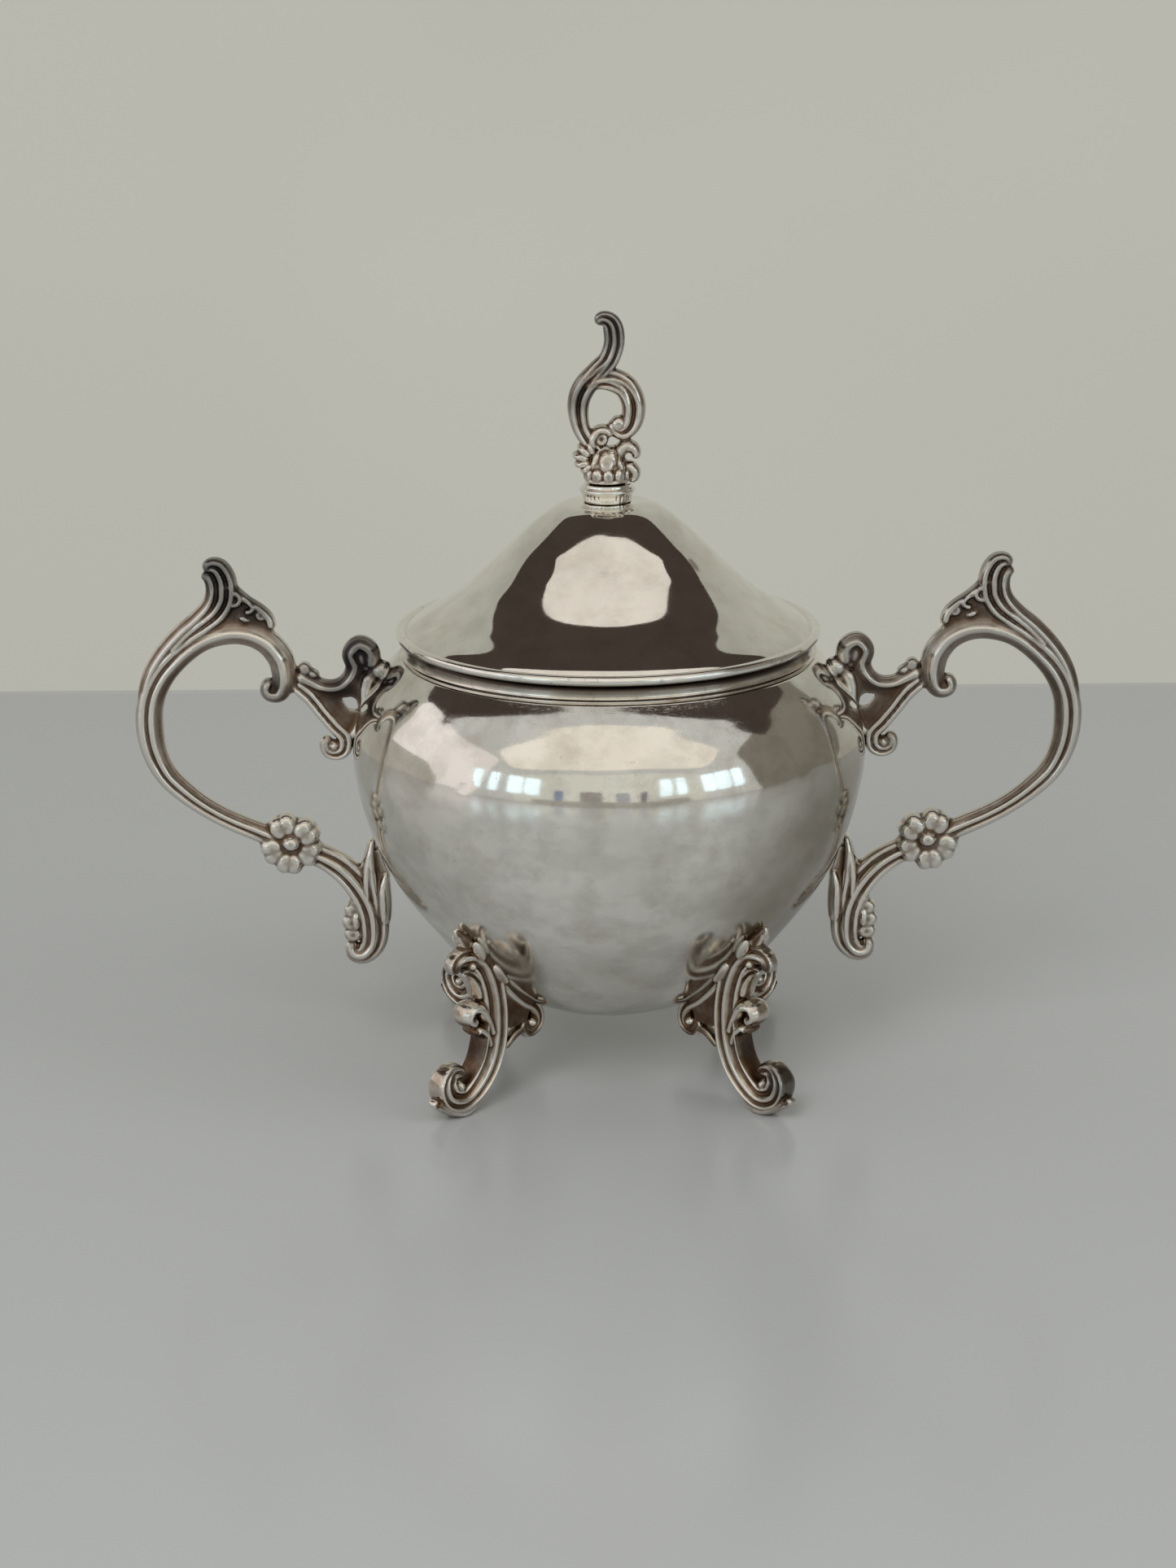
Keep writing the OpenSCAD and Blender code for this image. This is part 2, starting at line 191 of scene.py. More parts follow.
def new_object(name, verts, faces):
    mesh = bpy.data.meshes.new(name)
    mesh.from_pydata(np.asarray(verts).tolist(), [], faces)
    obj = bpy.data.objects.new(name, mesh)
    bpy.context.scene.collection.objects.link(obj)
    return obj


def smooth_shaded(mesh):
    mesh.polygons.foreach_set("use_smooth", np.ones(len(mesh.polygons), bool))
    mesh.update()


# ------ the cast pieces' own steps


def cast(name, parts, voxel, softness):
    """One casting from overlapping closed parts: fused, softened and in metres."""
    verts, faces, base = [], [], 0
    for v, f in parts:
        verts.append(v * MM)
        faces.extend([[i + base for i in face] for face in f])
        base += len(v)
    obj = new_object(name, np.vstack(verts), faces)
    fuse = obj.modifiers.new("fuse", "REMESH")
    fuse.mode = "VOXEL"
    fuse.voxel_size = voxel * MM
    soften = obj.modifiers.new("soften", "SMOOTH")
    soften.factor = 0.5
    soften.iterations = softness
    bpy.context.view_layer.update()
    depsgraph = bpy.context.evaluated_depsgraph_get()
    fused = bpy.data.meshes.new_from_object(obj.evaluated_get(depsgraph))
    fused.name = name
    bpy.data.objects.remove(obj)
    return fused


def vectors(items, name):
    values = np.empty(len(items) * 3, np.float32)
    items.foreach_get(name, values)
    return values.reshape(-1, 3).astype(float)


def coordinates(mesh):
    return vectors(mesh.vertices, "co")


def move_points(mesh, co):
    mesh.vertices.foreach_set("co", co.astype(np.float32).ravel())
    mesh.update()


def rise(values, start, width):
    """0 up to start, then growing to 1 over the width."""
    return np.clip((values - start) / width, 0, 1)


def neighbour_mean(values, edges, counts):
    """The mean of each vertex's neighbours."""
    total = np.empty_like(values)
    for k in range(values.shape[1]):
        total[:, k] = np.bincount(edges[:, 0], values[edges[:, 1], k], len(values))
        total[:, k] += np.bincount(edges[:, 1], values[edges[:, 0], k], len(values))
    return total / counts[:, None]


def hollowness(mesh, rounds):
    """How far each vertex lies below its smoothed surroundings, in mm. Ridges are negative."""
    co = coordinates(mesh)
    edges = np.empty(len(mesh.edges) * 2, np.int32)
    mesh.edges.foreach_get("vertices", edges)
    edges = edges.reshape(-1, 2)
    counts = np.maximum(np.bincount(edges.ravel(), minlength=len(co)), 1)
    smoothed = co
    for _ in range(rounds):
        smoothed = neighbour_mean(smoothed, edges, counts)
    return ((smoothed - co) * vectors(mesh.vertex_normals, "vector")).sum(1) / MM


def store(mesh, name, values):
    layer = mesh.attributes.get(name) or mesh.attributes.new(name, "FLOAT", "POINT")
    layer.data.foreach_set("value", values.astype(np.float32))


FINE_ROUNDS, BROAD_ROUNDS = 5, 28
WEB_AND_SHADE_DEPTH = 0.24


def mark_recesses_and_shade(mesh, floor, shaded=None):
    """Keeps the fine and the broad hollows for the dirt in them. The webs, which lie within floor
    (in mm) of the casting's middle plane, count as hollows; the outer face inside the box shaded
    [outward low, high, up low, high] is added to the broad hollows as painted shade."""
    fine, broad = hollowness(mesh, FINE_ROUNDS), hollowness(mesh, BROAD_ROUNDS)
    co, normals = coordinates(mesh) / MM, vectors(mesh.vertex_normals, "vector")
    web_and_shade = rise(-np.abs(co[:, 1]), -floor - 0.5, 0.6) * rise(np.abs(normals[:, 1]), 0.55, 0.3)
    if shaded:
        out_low, out_high, up_low, up_high = shaded
        inside = rise(co[:, 0], out_low, 1.5) * rise(-co[:, 0], -out_high, 1.5)
        inside *= rise(co[:, 2], up_low, 2) * rise(-co[:, 2], -up_high, 2)
        # Painted shade: the outward-facing outer face inside the box is darkened like a web.
        web_and_shade = np.maximum(web_and_shade, inside * rise(normals[:, 0], 0.45, 0.3))
    store(mesh, "fine", fine)
    store(mesh, "broad", np.maximum(broad, WEB_AND_SHADE_DEPTH * web_and_shade))


def mark_tarnish(mesh, spots):
    """Dark tarnish around spots: (outward, lateral, up, radius, strength), in millimetres."""
    co = coordinates(mesh) / MM
    dark = np.zeros(len(co))
    for x, y, z, radius, strength in spots:
        away = ((co - [x, y, z]) ** 2).sum(1) / radius**2
        dark = np.maximum(dark, strength * np.exp(-(away**2)))
    store(mesh, "tarnish_and_shade", dark)


def copy_turned(mesh, name, angle):
    """The casting turned about the bowl's axis."""
    made = mesh.copy()
    made.name = name
    made.transform(Matrix.Rotation(angle, 4, "Z"))
    obj = bpy.data.objects.new(name, made)
    bpy.context.scene.collection.objects.link(obj)
    return obj


# ------ turned pieces, on the CAD pieces' boxes

BOWL_LOW, BOWL_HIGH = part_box("bowl_shell")
_, LID_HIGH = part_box("lid_shell")
WIRE_LOW, WIRE_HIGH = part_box("lid_rim_wire")
_, BAND_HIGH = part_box("neck_band")
BEZEL_LOW, BEZEL_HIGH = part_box("lid_bezel")
COLLAR_LOW, COLLAR_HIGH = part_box("finial_collar")

BELLY_R = BOWL_HIGH.x / MM
BASE_Z = BOWL_LOW.z / MM
NECK_Z = BOWL_HIGH.z / MM
SHEET = 1.0
BASE_R = 18
STUD_HOLE_R = 1.7
LID_R = WIRE_HIGH.x / MM
CROWN_Z = LID_HIGH.z / MM
LID_EDGE_Z = WIRE_LOW.z / MM

# [radius, height] as shares of the widest radius and of the piece's height
BOWL_OUTLINE = [
    [0.333, 0], [0.458, 0.044], [0.575, 0.109], [0.700, 0.214], [0.835, 0.343], [0.925, 0.473],
    [0.979, 0.604], [1, 0.727], [0.964, 0.847], [0.880, 0.940], [0.805, 1],
]
LID_OUTLINE = [
    [0.965, 0.04], [0.915, 0.108], [0.800, 0.213], [0.691, 0.333], [0.550, 0.533], [0.424, 0.733],
    [0.300, 0.900], [0.225, 0.975], [0.150, 1],
]


def bowl_curve(step=1.0):
    size = [BELLY_R, NECK_Z - BASE_Z]
    return smooth_rows(np.array(BOWL_OUTLINE) * size + [0, BASE_Z], step)[0][:, :2]


def lid_curve():
    size = [LID_R, CROWN_Z - LID_EDGE_Z]
    return smooth_rows(np.array(LID_OUTLINE) * size + [0, LID_EDGE_Z], 0.8)[0][:, :2]


def inset(curve, by):
    """The curve moved by a distance to its left."""
    along = np.gradient(curve, axis=0)
    along /= np.linalg.norm(along, axis=1)[:, None]
    return curve + np.column_stack([-along[:, 1], along[:, 0]]) * by


CORNER_STEPS = 4


def rounded(outline, radius):
    """An outline of [r, z] corners with each corner rounded."""
    made = []
    pts = np.array(outline, float)
    for i in range(len(pts)):
        before, here, after = pts[i - 1], pts[i], pts[(i + 1) % len(pts)]
        a, b = before - here, after - here
        cut = min(radius, 0.45 * np.linalg.norm(a), 0.45 * np.linalg.norm(b))
        start, end = here + a / np.linalg.norm(a) * cut, here + b / np.linalg.norm(b) * cut
        for t in np.linspace(0, 1, CORNER_STEPS + 1):
            made.append((1 - t) ** 2 * start + 2 * t * (1 - t) * here + t**2 * end)
    return np.array(made)


def turned(name, outline, turns=288, change=None):
    """A closed outline of [r, z] revolved about the axis. change(points, angle) gives each point's
    dents in mm."""
    outline = np.asarray(outline, float)
    n = len(outline)
    angle = np.arange(turns) * TAU / turns
    r, z = outline[:, :1], outline[:, 1:]
    verts = np.stack([r * np.cos(angle), r * np.sin(angle), np.repeat(z, turns, axis=1)], axis=2)
    if change is not None:
        verts = verts + change(verts, angle)[:, :, None] * outward(outline, angle)
    i, j = np.meshgrid(np.arange(n), np.arange(turns), indexing="ij")
    here, after, beside = i * turns, (i + 1) % n * turns, (j + 1) % turns
    faces = np.stack([here + j, here + beside, after + beside, after + j], axis=2)
    obj = new_object(name, verts.reshape(-1, 3) * MM, faces.reshape(-1, 4).tolist())
    tidy_turned(obj.data)
    return obj


def tidy_turned(mesh):
    """Welds the points on the axis and turns every face outward."""
    work = bmesh.new()
    work.from_mesh(mesh)
    bmesh.ops.remove_doubles(work, verts=work.verts, dist=0.002 * MM)
    bmesh.ops.recalc_face_normals(work, faces=work.faces)
    work.to_mesh(mesh)
    work.free()
    smooth_shaded(mesh)


def outward(outline, angle):
    """The outline's own normal at each point, turned about the axis."""
    along = np.roll(outline, -1, axis=0) - np.roll(outline, 1, axis=0)
    along /= np.maximum(np.linalg.norm(along, axis=1), 1e-9)[:, None]
    nr, nz = along[:, 1], -along[:, 0]
    up = np.repeat(nz[:, None], len(angle), axis=1)
    return np.stack([nr[:, None] * np.cos(angle), nr[:, None] * np.sin(angle), up], axis=2)


# Unevenness of the hand-worked sheet: (height in mm, times round, mm up per wave, start)
BOWL_WAVES = [
    (0.030, 3, 61, 0.4), (0.022, 5, 38, 1.9), (0.016, 8, 27, 4.0), (0.010, 13, 19, 2.7),
    (0.006, 21, 12, 5.1),
]
LID_WAVES = [(0.020, 3, 40, 2.2), (0.014, 6, 26, 0.7), (0.009, 10, 17, 3.3), (0.005, 17, 11, 1.2)]
WIRE_WAVES = [(0.012, 7, 90, 0.3), (0.008, 19, 90, 1.0)]
# Dings: (x, y, z, radius, depth) in mm
BOWL_DINGS = [
    (-31, -47.5, 79, 1.4, 0.16), (41, -38.5, 80, 1.1, 0.10), (12, -40, 38, 1.6, 0.08),
    (48, 29, 70, 2.0, 0.14),
]
LID_DINGS = [(5.6, -12.4, 126.0, 1.3, 0.22), (-22, -20, 112.5, 1.8, 0.05), (10, 24, 114, 1.6, 0.10)]


def worked(waves, dings, calm=0.1):
    """Dents of a hand-finished sheet as a function for turned(). They fade toward the axis
    within the radius calm."""
    def change(verts, angle):
        z = verts[:, :, 2]
        made = np.zeros(z.shape)
        for height, times, per, start in waves:
            made += height * np.sin(times * angle[None, :] + TAU * z / per + start)
        for x, y, zz, radius, depth in dings:
            away = ((verts - [x, y, zz]) ** 2).sum(2) / radius**2
            made -= depth * np.exp(-away)
        return made * np.clip(np.hypot(verts[:, :, 0], verts[:, :, 1]) / calm, 0, 1)
    return change


def make_bowl_shell():
    outer = bowl_curve()
    inner = inset(outer, SHEET)
    dish = 0.5
    base = np.array([[0, dish], [15.5, dish], [16.3, 0.35], [17.0, 0.05], [17.8, 0]]) + [0, BASE_Z]
    floor = [[14, BASE_Z + SHEET + dish], [0, BASE_Z + SHEET + dish]]
    shape = np.vstack([base, outer, inner[::-1], floor])
    return turned("bowl_shell_visual", shape, change=worked(BOWL_WAVES, BOWL_DINGS, BASE_R))


def darken_between(mesh, low, high):
    """Painted shade that grows from none at height low to full at height high, in millimetres."""
    store(mesh, "tarnish_and_shade", rise(coordinates(mesh)[:, 2] / MM, low, high - low))


def make_neck_band():
    """The band round the mouth: a ridge at its foot, a plain wall and a lip under the lid."""
    top, r = BAND_HIGH.z / MM, BAND_HIGH.x / MM - 0.8
    inner = r - SHEET
    shape = [
        [inner, NECK_Z - 0.6], [r + 0.3, NECK_Z - 0.6], [r + 0.8, NECK_Z - 0.25],
        [r + 0.8, NECK_Z + 0.15], [r + 0.15, NECK_Z + 0.45], [r - 0.05, NECK_Z + 1.0],
        [r - 0.1, top - 1.3], [r - 0.45, top - 0.55], [r - 0.7, top], [inner, top],
    ]
    obj = turned("neck_band_visual", rounded(shape, 0.22), turns=240)
    # Painted shade: the band darkens toward its top, under the lid's overhang.
    darken_between(obj.data, NECK_Z + 0.9, top - 0.9)
    return obj


def make_lid_shell():
    outer = lid_curve()
    inner = inset(outer, SHEET)
    hole = [[STUD_HOLE_R, CROWN_Z], [STUD_HOLE_R, CROWN_Z - SHEET]]
    shape = np.vstack([outer, hole, inner[::-1]])
    return turned("lid_shell_visual", shape, change=worked(LID_WAVES, LID_DINGS))


def make_rim_wire():
    """The round wire on the lid's edge, a little worn flat on top, with painted shade underneath.
    """
    r = (WIRE_HIGH.z - WIRE_LOW.z) / MM / 2
    a = np.arange(20) * TAU / 20
    worn = 1 - 0.06 * (np.sin(a) > 0)
    shape = np.column_stack([LID_R - r + r * np.cos(a), LID_EDGE_Z + r + r * np.sin(a) * worn])
    obj = turned("lid_rim_wire_visual", shape, change=worked(WIRE_WAVES, []))
    # Painted shade on the wire's underside.
    darken_between(obj.data, LID_EDGE_Z + 0.75 * r, LID_EDGE_Z + 0.2 * r)
    return obj


def make_bezel():
    low, high = BEZEL_LOW.z / MM, BEZEL_HIGH.z / MM
    r = BEZEL_HIGH.x / MM
    shape = [[r - 1, low], [r - 0.3, low], [r, low + 0.8], [r, high], [r - 1, high]]
    return turned("lid_bezel_visual", rounded(shape, 0.2), turns=200)


def make_collar():
    """Collar under the finial: a fluted taper that rises to a plain flange."""
    low, high = COLLAR_LOW.z / MM, COLLAR_HIGH.z / MM
    r = COLLAR_HIGH.x / MM
    hole = 1.8
    core = [
        [hole, low], [r - 1.2, low], [r - 0.95, low + 0.35], [r - 0.95, low + 0.9],
        [r - 0.7, low + 1.7], [r - 0.35, low + 2.2], [r - 0.05, low + 2.45], [r - 0.05, low + 2.95],
        [r - 0.4, low + 3.2], [r - 0.9, low + 3.35], [r - 1.0, high], [hole, high],
    ]

    def fluting(verts, angle):
        up = verts[:, :, 2] - low
        outside = np.hypot(verts[:, :, 0], verts[:, :, 1]) > r - 2
        band = np.exp(-(((up - 1.3) / 0.8) ** 2)) * outside
        ragged = 0.4 + 0.6 * np.abs(np.sin(2.5 * angle + 0.6))
        return band * (0.16 * np.abs(np.sin(16 * angle)) * ragged - 0.08)[None, :]

    return turned("finial_collar_visual", rounded(core, 0.28), turns=256, change=fluting)


# ------ handle: [outward from the belly, up]

LOOP = [
    [17.3, 90, .9, 2], [18.5, 89.6, 1.2, 2.2], [18.9, 88.2, 1.4, 2.3], [18, 87.2, 1.6, 2.4],
    [16.2, 87.4, 1.9, 2.5], [15.1, 89.4, 2.3, 2.6], [14.9, 92.4, 2.7, 2.7], [15.7, 95.7, 2.8, 2.8],
    [18.3, 99, 2.7, 2.8], [22.3, 101, 2.6, 2.8], [27, 101.3, 2.5, 2.8], [32.4, 99.9, 2.5, 2.8],
    [37.3, 96.8, 2.7, 2.8], [41.8, 92, 2.8, 2.7], [44.5, 86.5, 2.9, 2.7], [45.2, 80.5, 3, 2.7],
    [44.4, 74.5, 2.8, 2.6], [42, 69, 2.5, 2.5], [38, 64.7, 2.3, 2.4], [33, 60.9, 2.1, 2.4],
    [27.5, 57.8, 2.1, 2.4], [21, 55, 2.2, 2.4], [14.5, 52.3, 2.3, 2.5], [8.5, 49.8, 2.6, 2.6],
    [3.5, 46.8, 3, 2.8], [-.4, 42.5, 3.2, 2.9], [-3, 37.5, 3.3, 2.9], [-3.8, 32.5, 3.2, 2.8],
    [-3.3, 28.6, 2.8, 2.6], [-1.3, 26.2, 2.3, 2.4], [.9, 26.2, 1.8, 2.1], [1.6, 28, 1.3, 1.8],
    [.4, 29.2, .9, 1.5],
]
LOOP_FACES = [
    (0, ROUND), (4, SHOULDERED), (10, SHOULDERED), (12.5, LOOP_FACE), (20.5, LOOP_FACE),
    (23, THREE_RIDGES), (28, THREE_RIDGES), (31, ROUND),
]
THUMB = [
    [31.4, 115, 1.2, 1.8], [30.3, 116.4, 1.6, 2.1], [28.4, 116, 1.9, 2.4], [27.1, 113.7, 2.1, 2.6],
    [26.8, 111, 2.2, 2.7], [27.3, 108.2, 2.1, 2.7], [29.2, 105.4, 2, 2.6], [32.4, 102.9, 1.8, 2.5],
    [36, 100.2, 1.7, 2.4], [40, 96.3, 1.5, 2.4],
]
THUMB_SIDE = [
    [32.1, 113.2, .8, 1.5], [31.2, 114, 1.1, 1.8], [30.3, 112.8, 1.3, 2.1], [30.1, 110.4, 1.4, 2.2],
    [31, 107.7, 1.5, 2.3], [33.6, 104.7, 1.6, 2.3], [37.4, 101.4, 1.7, 2.3], [41.4, 97, 1.7, 2.3],
    [44.4, 92.2, 1.6, 2.3], [46.3, 86.8, 1.2, 2.1], [47, 81, .7, 1.7],
]
BRACKET = [
    [12.3, 91.8, 1.4, 2.2], [9.4, 90.2, 1.6, 2.3], [6, 88.7, 1.6, 2.3], [2.8, 88.8, 1.7, 2.4],
    [.4, 90.6, 1.8, 2.5], [-.9, 93.4, 2, 2.5], [-.2, 96.4, 2, 2.5], [-1.9, 98.3, 2, 2.4],
    [-4.1, 97.2, 2, 2.3], [-4.6, 94.8, 1.8, 2.2], [-3.2, 93.6, 1.2, 1.9],
]
STRUT = [
    [12.8, 89.6, 1.6, 2.2], [9.3, 86.6, 1.7, 2.2], [6.6, 83, 1.6, 2.2], [4, 79.8, 1.6, 2.2],
    [1.8, 77.4, 1.6, 2.2], [1.9, 74.5, 1.5, 2.2], [3.8, 73.3, 1.3, 2.1], [5.9, 74.1, 1.2, 2],
    [6.1, 76.2, 1.2, 1.8], [4.6, 77, .9, 1.5],
]
WEB_LOW = [
    [-4, 83.6], [-2, 78], [2.6, 77.6], [7, 84], [9, 88.5], [5.5, 88], [2.6, 86.3], [1.5, 84.6],
    [.7, 83.6], [0, 83.4],
]
WEB_HIGH = [
    [-4.4, 83.2], [-1.6, 83.2], [-1, 86], [0, 86.6], [1, 86.5], [2.6, 86.3], [4.4, 88], [2.4, 89.6],
    [-1, 91], [-5, 89],
]
THUMB_WEB = [
    [16.6, 100.5], [17.8, 104.5], [20.5, 106.8], [24, 109.2], [27.2, 111.2], [29, 107], [31, 103.5],
    [30, 100.5],
]
LOWER_WEB = [[0, 45], [-2.5, 51], [-5.5, 51], [-7.5, 44.5], [-7, 38.5], [-3, 36]]
WEB_DEPTH = 1.2
LEAF_EDGE = [
    [27.3, 112.3, .9, 2.2], [25, 110.9, .8, 2.1], [22.4, 108.6, .8, 2.1], [19.6, 106.6, .9, 2.1],
    [17.8, 104.6, 1, 2.1], [17.2, 102, 1, 2.1],
]
BRACKET_BACK = [
    [-4.2, 92, 1.5, 2.3], [-3.2, 88.6, 1.5, 2.2], [-2.9, 85.2, 1.3, 2.1], [-2.2, 82, 1.3, 2],
    [-.9, 79, 1.2, 2], [.8, 77, 1, 1.8],
]
OUTER_TIP = [
    [-4, 34, 1.4, 2.2], [-3.4, 39.5, 2, 2.9], [-3, 44.5, 1.9, 3.2], [-3.2, 49.5, 1.3, 3],
    [-3.9, 53.8, .6, 2],
]
INNER_TIP = [[-6.2, 33, 1.1, 2.2], [-6, 38, 1.7, 2.9], [-6.1, 42.2, 1.4, 3], [-6.8, 46, .6, 2.2]]
# The frill's scallops: outward, up, size
FRILL = [(-.1, 38.8, 1.5), (1, 36.6, 1.8), (1.4, 33.8, 1.9), (1.3, 31, 1.7)]
FLOWER = (14.4, 52.6)
PETALS = [67, 141, 207, 277, 339]
PETAL_REACH = 4.3


def flower_parts():
    """Five notched petals round a dimpled button, on both faces of the strand."""
    u, v = FLOWER
    parts = [
        lobe((u, 0, v), FRONT, UP, (4.6, 4.6, 3.1)),
        lobe((u - .1, 0, v + .5), FRONT, UP, (2.5, 2.1, 5), 0.16),
    ]
    for i, angle in enumerate(PETALS):
        thick = 3.6 if i % 2 else 3.3
        for half in (-12, 12):
            a = math.radians(angle + half)
            out = (math.cos(a), 0, math.sin(a))
            centre = (u + PETAL_REACH * out[0], 0, v + PETAL_REACH * out[2])
            parts.append(lobe(centre, FRONT, out, (2.35, 2.9, thick), 0.08, 0.3))
    return parts


def leaf_cluster_parts():
    """The curled shell leaves behind the thumb piece, each a ring round a hollow."""
    return [
        strand(LEAF_EDGE),
        curl(25.3, 109.2, 1.35, .75, 2.6, 20, 300),
        curl(22.2, 107.2, .95, .7, 2.5, 60, 280),
        lobe((19.5, 0, 105.4), FRONT, UP, (1.6, 1.6, 2.6), 0.25),
        lobe((23.2, 0, 104.6), FRONT, (1, 0, 0.4), (.9, 1.8, 2.2)),
    ]


def bracket_parts():
    """The C-scroll on the bowl's shoulder with its leaf, and the strut with its volute."""
    return [
        strand(BRACKET, [(0, ROUND), (2, SHOULDERED), (7, SHOULDERED), (9, ROUND)]),
        strand(BRACKET_BACK),
        strand(STRUT, [(0, TWO_RIDGES), (6, TWO_RIDGES), (8, ROUND)]),
        plate(WEB_LOW, WEB_DEPTH),
        plate(WEB_HIGH, WEB_DEPTH),
        lobe((-2.3, 0, 95.4), FRONT, UP, (2.5, 2.6, 1.9)),
        lobe((-6.6, 0, 92.6), FRONT, (-1, 0, 0.3), (2.1, 2.6, 2.3)),
        lobe((-4.2, 0, 90.6), FRONT, (-0.5, 0, 1), (1.6, 3.0, 1.9)),
        bead(4.2, 75.4, 1.2, 2.1),
        bead(-3.4, 93.2, 1, 1.6),
        lobe((10.2, 0, 93), FRONT, (0.5, 0, 1), (1.5, 1.7, 2.3), 0.2),
        lobe((8.4, 0, 91.9), FRONT, (1, 0, 0.4), (1, 1.5, 2.1)),
    ]


def lower_leaf_parts():
    """The forked leaf that is soldered to the belly, and the frill on the lower scroll."""
    parts = [
        strand(OUTER_TIP, [(0, TWO_RIDGES), (3, ROUND)]), strand(INNER_TIP), plate(LOWER_WEB, 1.7),
    ]
    for u, v, r in FRILL:
        parts.append(lobe((u - .2, 0, v), FRONT, OUTWARD, (r * 1.05, r * 1.3, 2.3), 0.2, 0.3))
    parts.append(lobe((.3, 0, 34.4), FRONT, UP, (1.3, 3.2, 2.4)))
    return parts


def make_handle_mesh():
    parts = [
        strand(LOOP, LOOP_FACES),
        strand(THUMB, [(0, ROUND), (1.5, TWO_RIDGES), (7, TWO_RIDGES), (9, ROUND)]),
        strand(THUMB_SIDE, [(0, ROUND), (3, SHOULDERED)]),
        plate(THUMB_WEB, WEB_DEPTH),
    ]
    parts += flower_parts() + leaf_cluster_parts() + bracket_parts() + lower_leaf_parts()
    parts = [(verts + [BELLY_R, 0, 0], faces) for verts, faces in parts]
    mesh = cast("handle", parts, 0.28, 3)
    rest_on_bowl(mesh)
    mark_recesses_and_shade(mesh, 1.5)
    smooth_shaded(mesh)
    return mesh


DEEPEST = 0.45


def rest_on_bowl(mesh):
    """Keeps a casting from going deeper than DEEPEST into the bowl's sheet."""
    curve = bowl_curve(0.5)
    co = coordinates(mesh) / MM
    radius = np.hypot(co[:, 0], co[:, 1])
    z = co[:, 2]
    order = np.argsort(curve[:, 1])
    skin = np.interp(z, curve[order, 1], curve[order, 0], left=0, right=0)
    along = np.gradient(curve, axis=0)
    along /= np.linalg.norm(along, axis=1)[:, None]
    nr = np.interp(z, curve[order, 1], along[order, 1])
    nz = np.interp(z, curve[order, 1], -along[order, 0])
    below = (skin - radius) * np.abs(nr)
    push = np.clip(below - DEEPEST, 0, None) * ((z > BASE_Z) & (z < NECK_Z))
    unit = co[:, :2] / np.maximum(radius, 1e-6)[:, None]
    co[:, :2] += unit * (push * nr)[:, None]
    co[:, 2] += push * nz
    move_points(mesh, co * MM)


# ------ foot: [distance from the axis, up]

LEG = [
    [48.2, 33, 1, 1.7], [48.7, 34.9, 1.4, 2.1], [47, 36.2, 1.7, 2.4], [44, 35.9, 2.1, 2.7],
    [41.2, 33.4, 2.6, 2.8], [39.2, 29.5, 3, 2.8], [38.1, 25, 3.2, 2.8], [37.8, 20, 3.4, 2.8],
    [38.3, 15, 3.4, 2.8], [40, 10.3, 3.3, 2.8], [43.2, 6.5, 3.1, 2.8], [47.2, 4.2, 2.6, 2.8],
    [50.9, 5.2, 2.4, 2.7], [52.2, 8.3, 2.2, 2.6], [50.5, 10.8, 1.8, 2.5], [48.1, 10.5, 1.4, 2.3],
    [46.8, 9, 1, 2],
]
LEG_FACES = [
    (0, ROUND), (2, RIMMED), (4, LEG_FACE), (13, LEG_FACE), (14.5, TWO_RIDGES), (16, ROUND),
]
INNER_SCROLL = [
    [42, 38, 1.5, 2.3], [37.5, 32, 2.1, 2.5], [33.2, 26.8, 2.4, 2.6], [29, 22.7, 2.2, 2.5],
    [25.4, 20, 1.7, 2.4], [24, 17.3, 1.4, 2.3], [24.8, 14.9, 1.2, 2.2], [27.1, 14.2, 1.2, 2.1],
    [28.5, 15.9, 1, 2], [27.6, 17.7, .8, 1.7],
]
FOOT_WEB = [[42, 33.5], [31, 27], [26.6, 21.4], [28, 17.5], [33, 16.8], [37, 18.5]]
LIP = [
    [42.4, 4, .9, 2], [44.2, 2.2, 1.2, 2.4], [47, 1.1, 1.3, 2.6], [50, 1.9, 1.2, 2.5],
    [53, 3.6, 1, 2.3], [55, 4.8, .8, 1.9],
]
LINK = [[28.5, 15.6, .8, 1.8], [31.6, 14.4, .8, 1.9], [34.6, 12.2, .7, 1.8]]
LEG_CURL = [
    [38.4, 16.5, .9, 2.7], [40.2, 20.4, 1.2, 3], [42.3, 23.6, 1.4, 3.3], [44.8, 24, 1.3, 3.1],
    [45.7, 22, 1.1, 2.9], [44.2, 20.8, 1, 2.7], [43, 21.8, .7, 2.4],
]
LEG_BUD = [[39.4, 14, .8, 2.7], [40.8, 17.4, 1, 2.9], [42.7, 18.9, 1, 2.9], [44.1, 17.9, .8, 2.6]]
LEG_LEAF = [[41.4, 25.5, 1, 2.3], [42.2, 29, 1.3, 2.5], [44.4, 32, 1.2, 2.4], [46.8, 33, .9, 1.9]]
FOOT_WEB_DEPTH = 1.9
LEG_SHADE = (39.5, 50, 6, 22)  # the leg's outer face, given painted shade: outward low and high, up low and high


def make_foot_mesh():
    parts = [
        strand(LEG, LEG_FACES),
        strand(INNER_SCROLL, [(0, ROUND), (2, TWO_RIDGES), (7, TWO_RIDGES), (9, ROUND)]),
        plate(FOOT_WEB, FOOT_WEB_DEPTH), strand(LIP), strand(LINK), bead(55, 4.7, 1, 1.7),
        bead(48.5, 7.4, 1.45, 2.0), bead(26.3, 16.4, 1.25, 2.1), bead(44.4, 34.2, 1.2, 2.4),
        strand(LEG_CURL), strand(LEG_BUD), strand(LEG_LEAF, [(0, TWO_RIDGES)]),
    ]
    parts += foot_leaf_parts()
    mesh = cast("foot", parts, 0.2, 4)
    rest_on_bowl(mesh)
    stand_flat(mesh)
    # The leg's outer face inside LEG_SHADE gets painted shade, stored with the broad hollows.
    mark_recesses_and_shade(mesh, FOOT_WEB_DEPTH, LEG_SHADE)
    smooth_shaded(mesh)
    return mesh


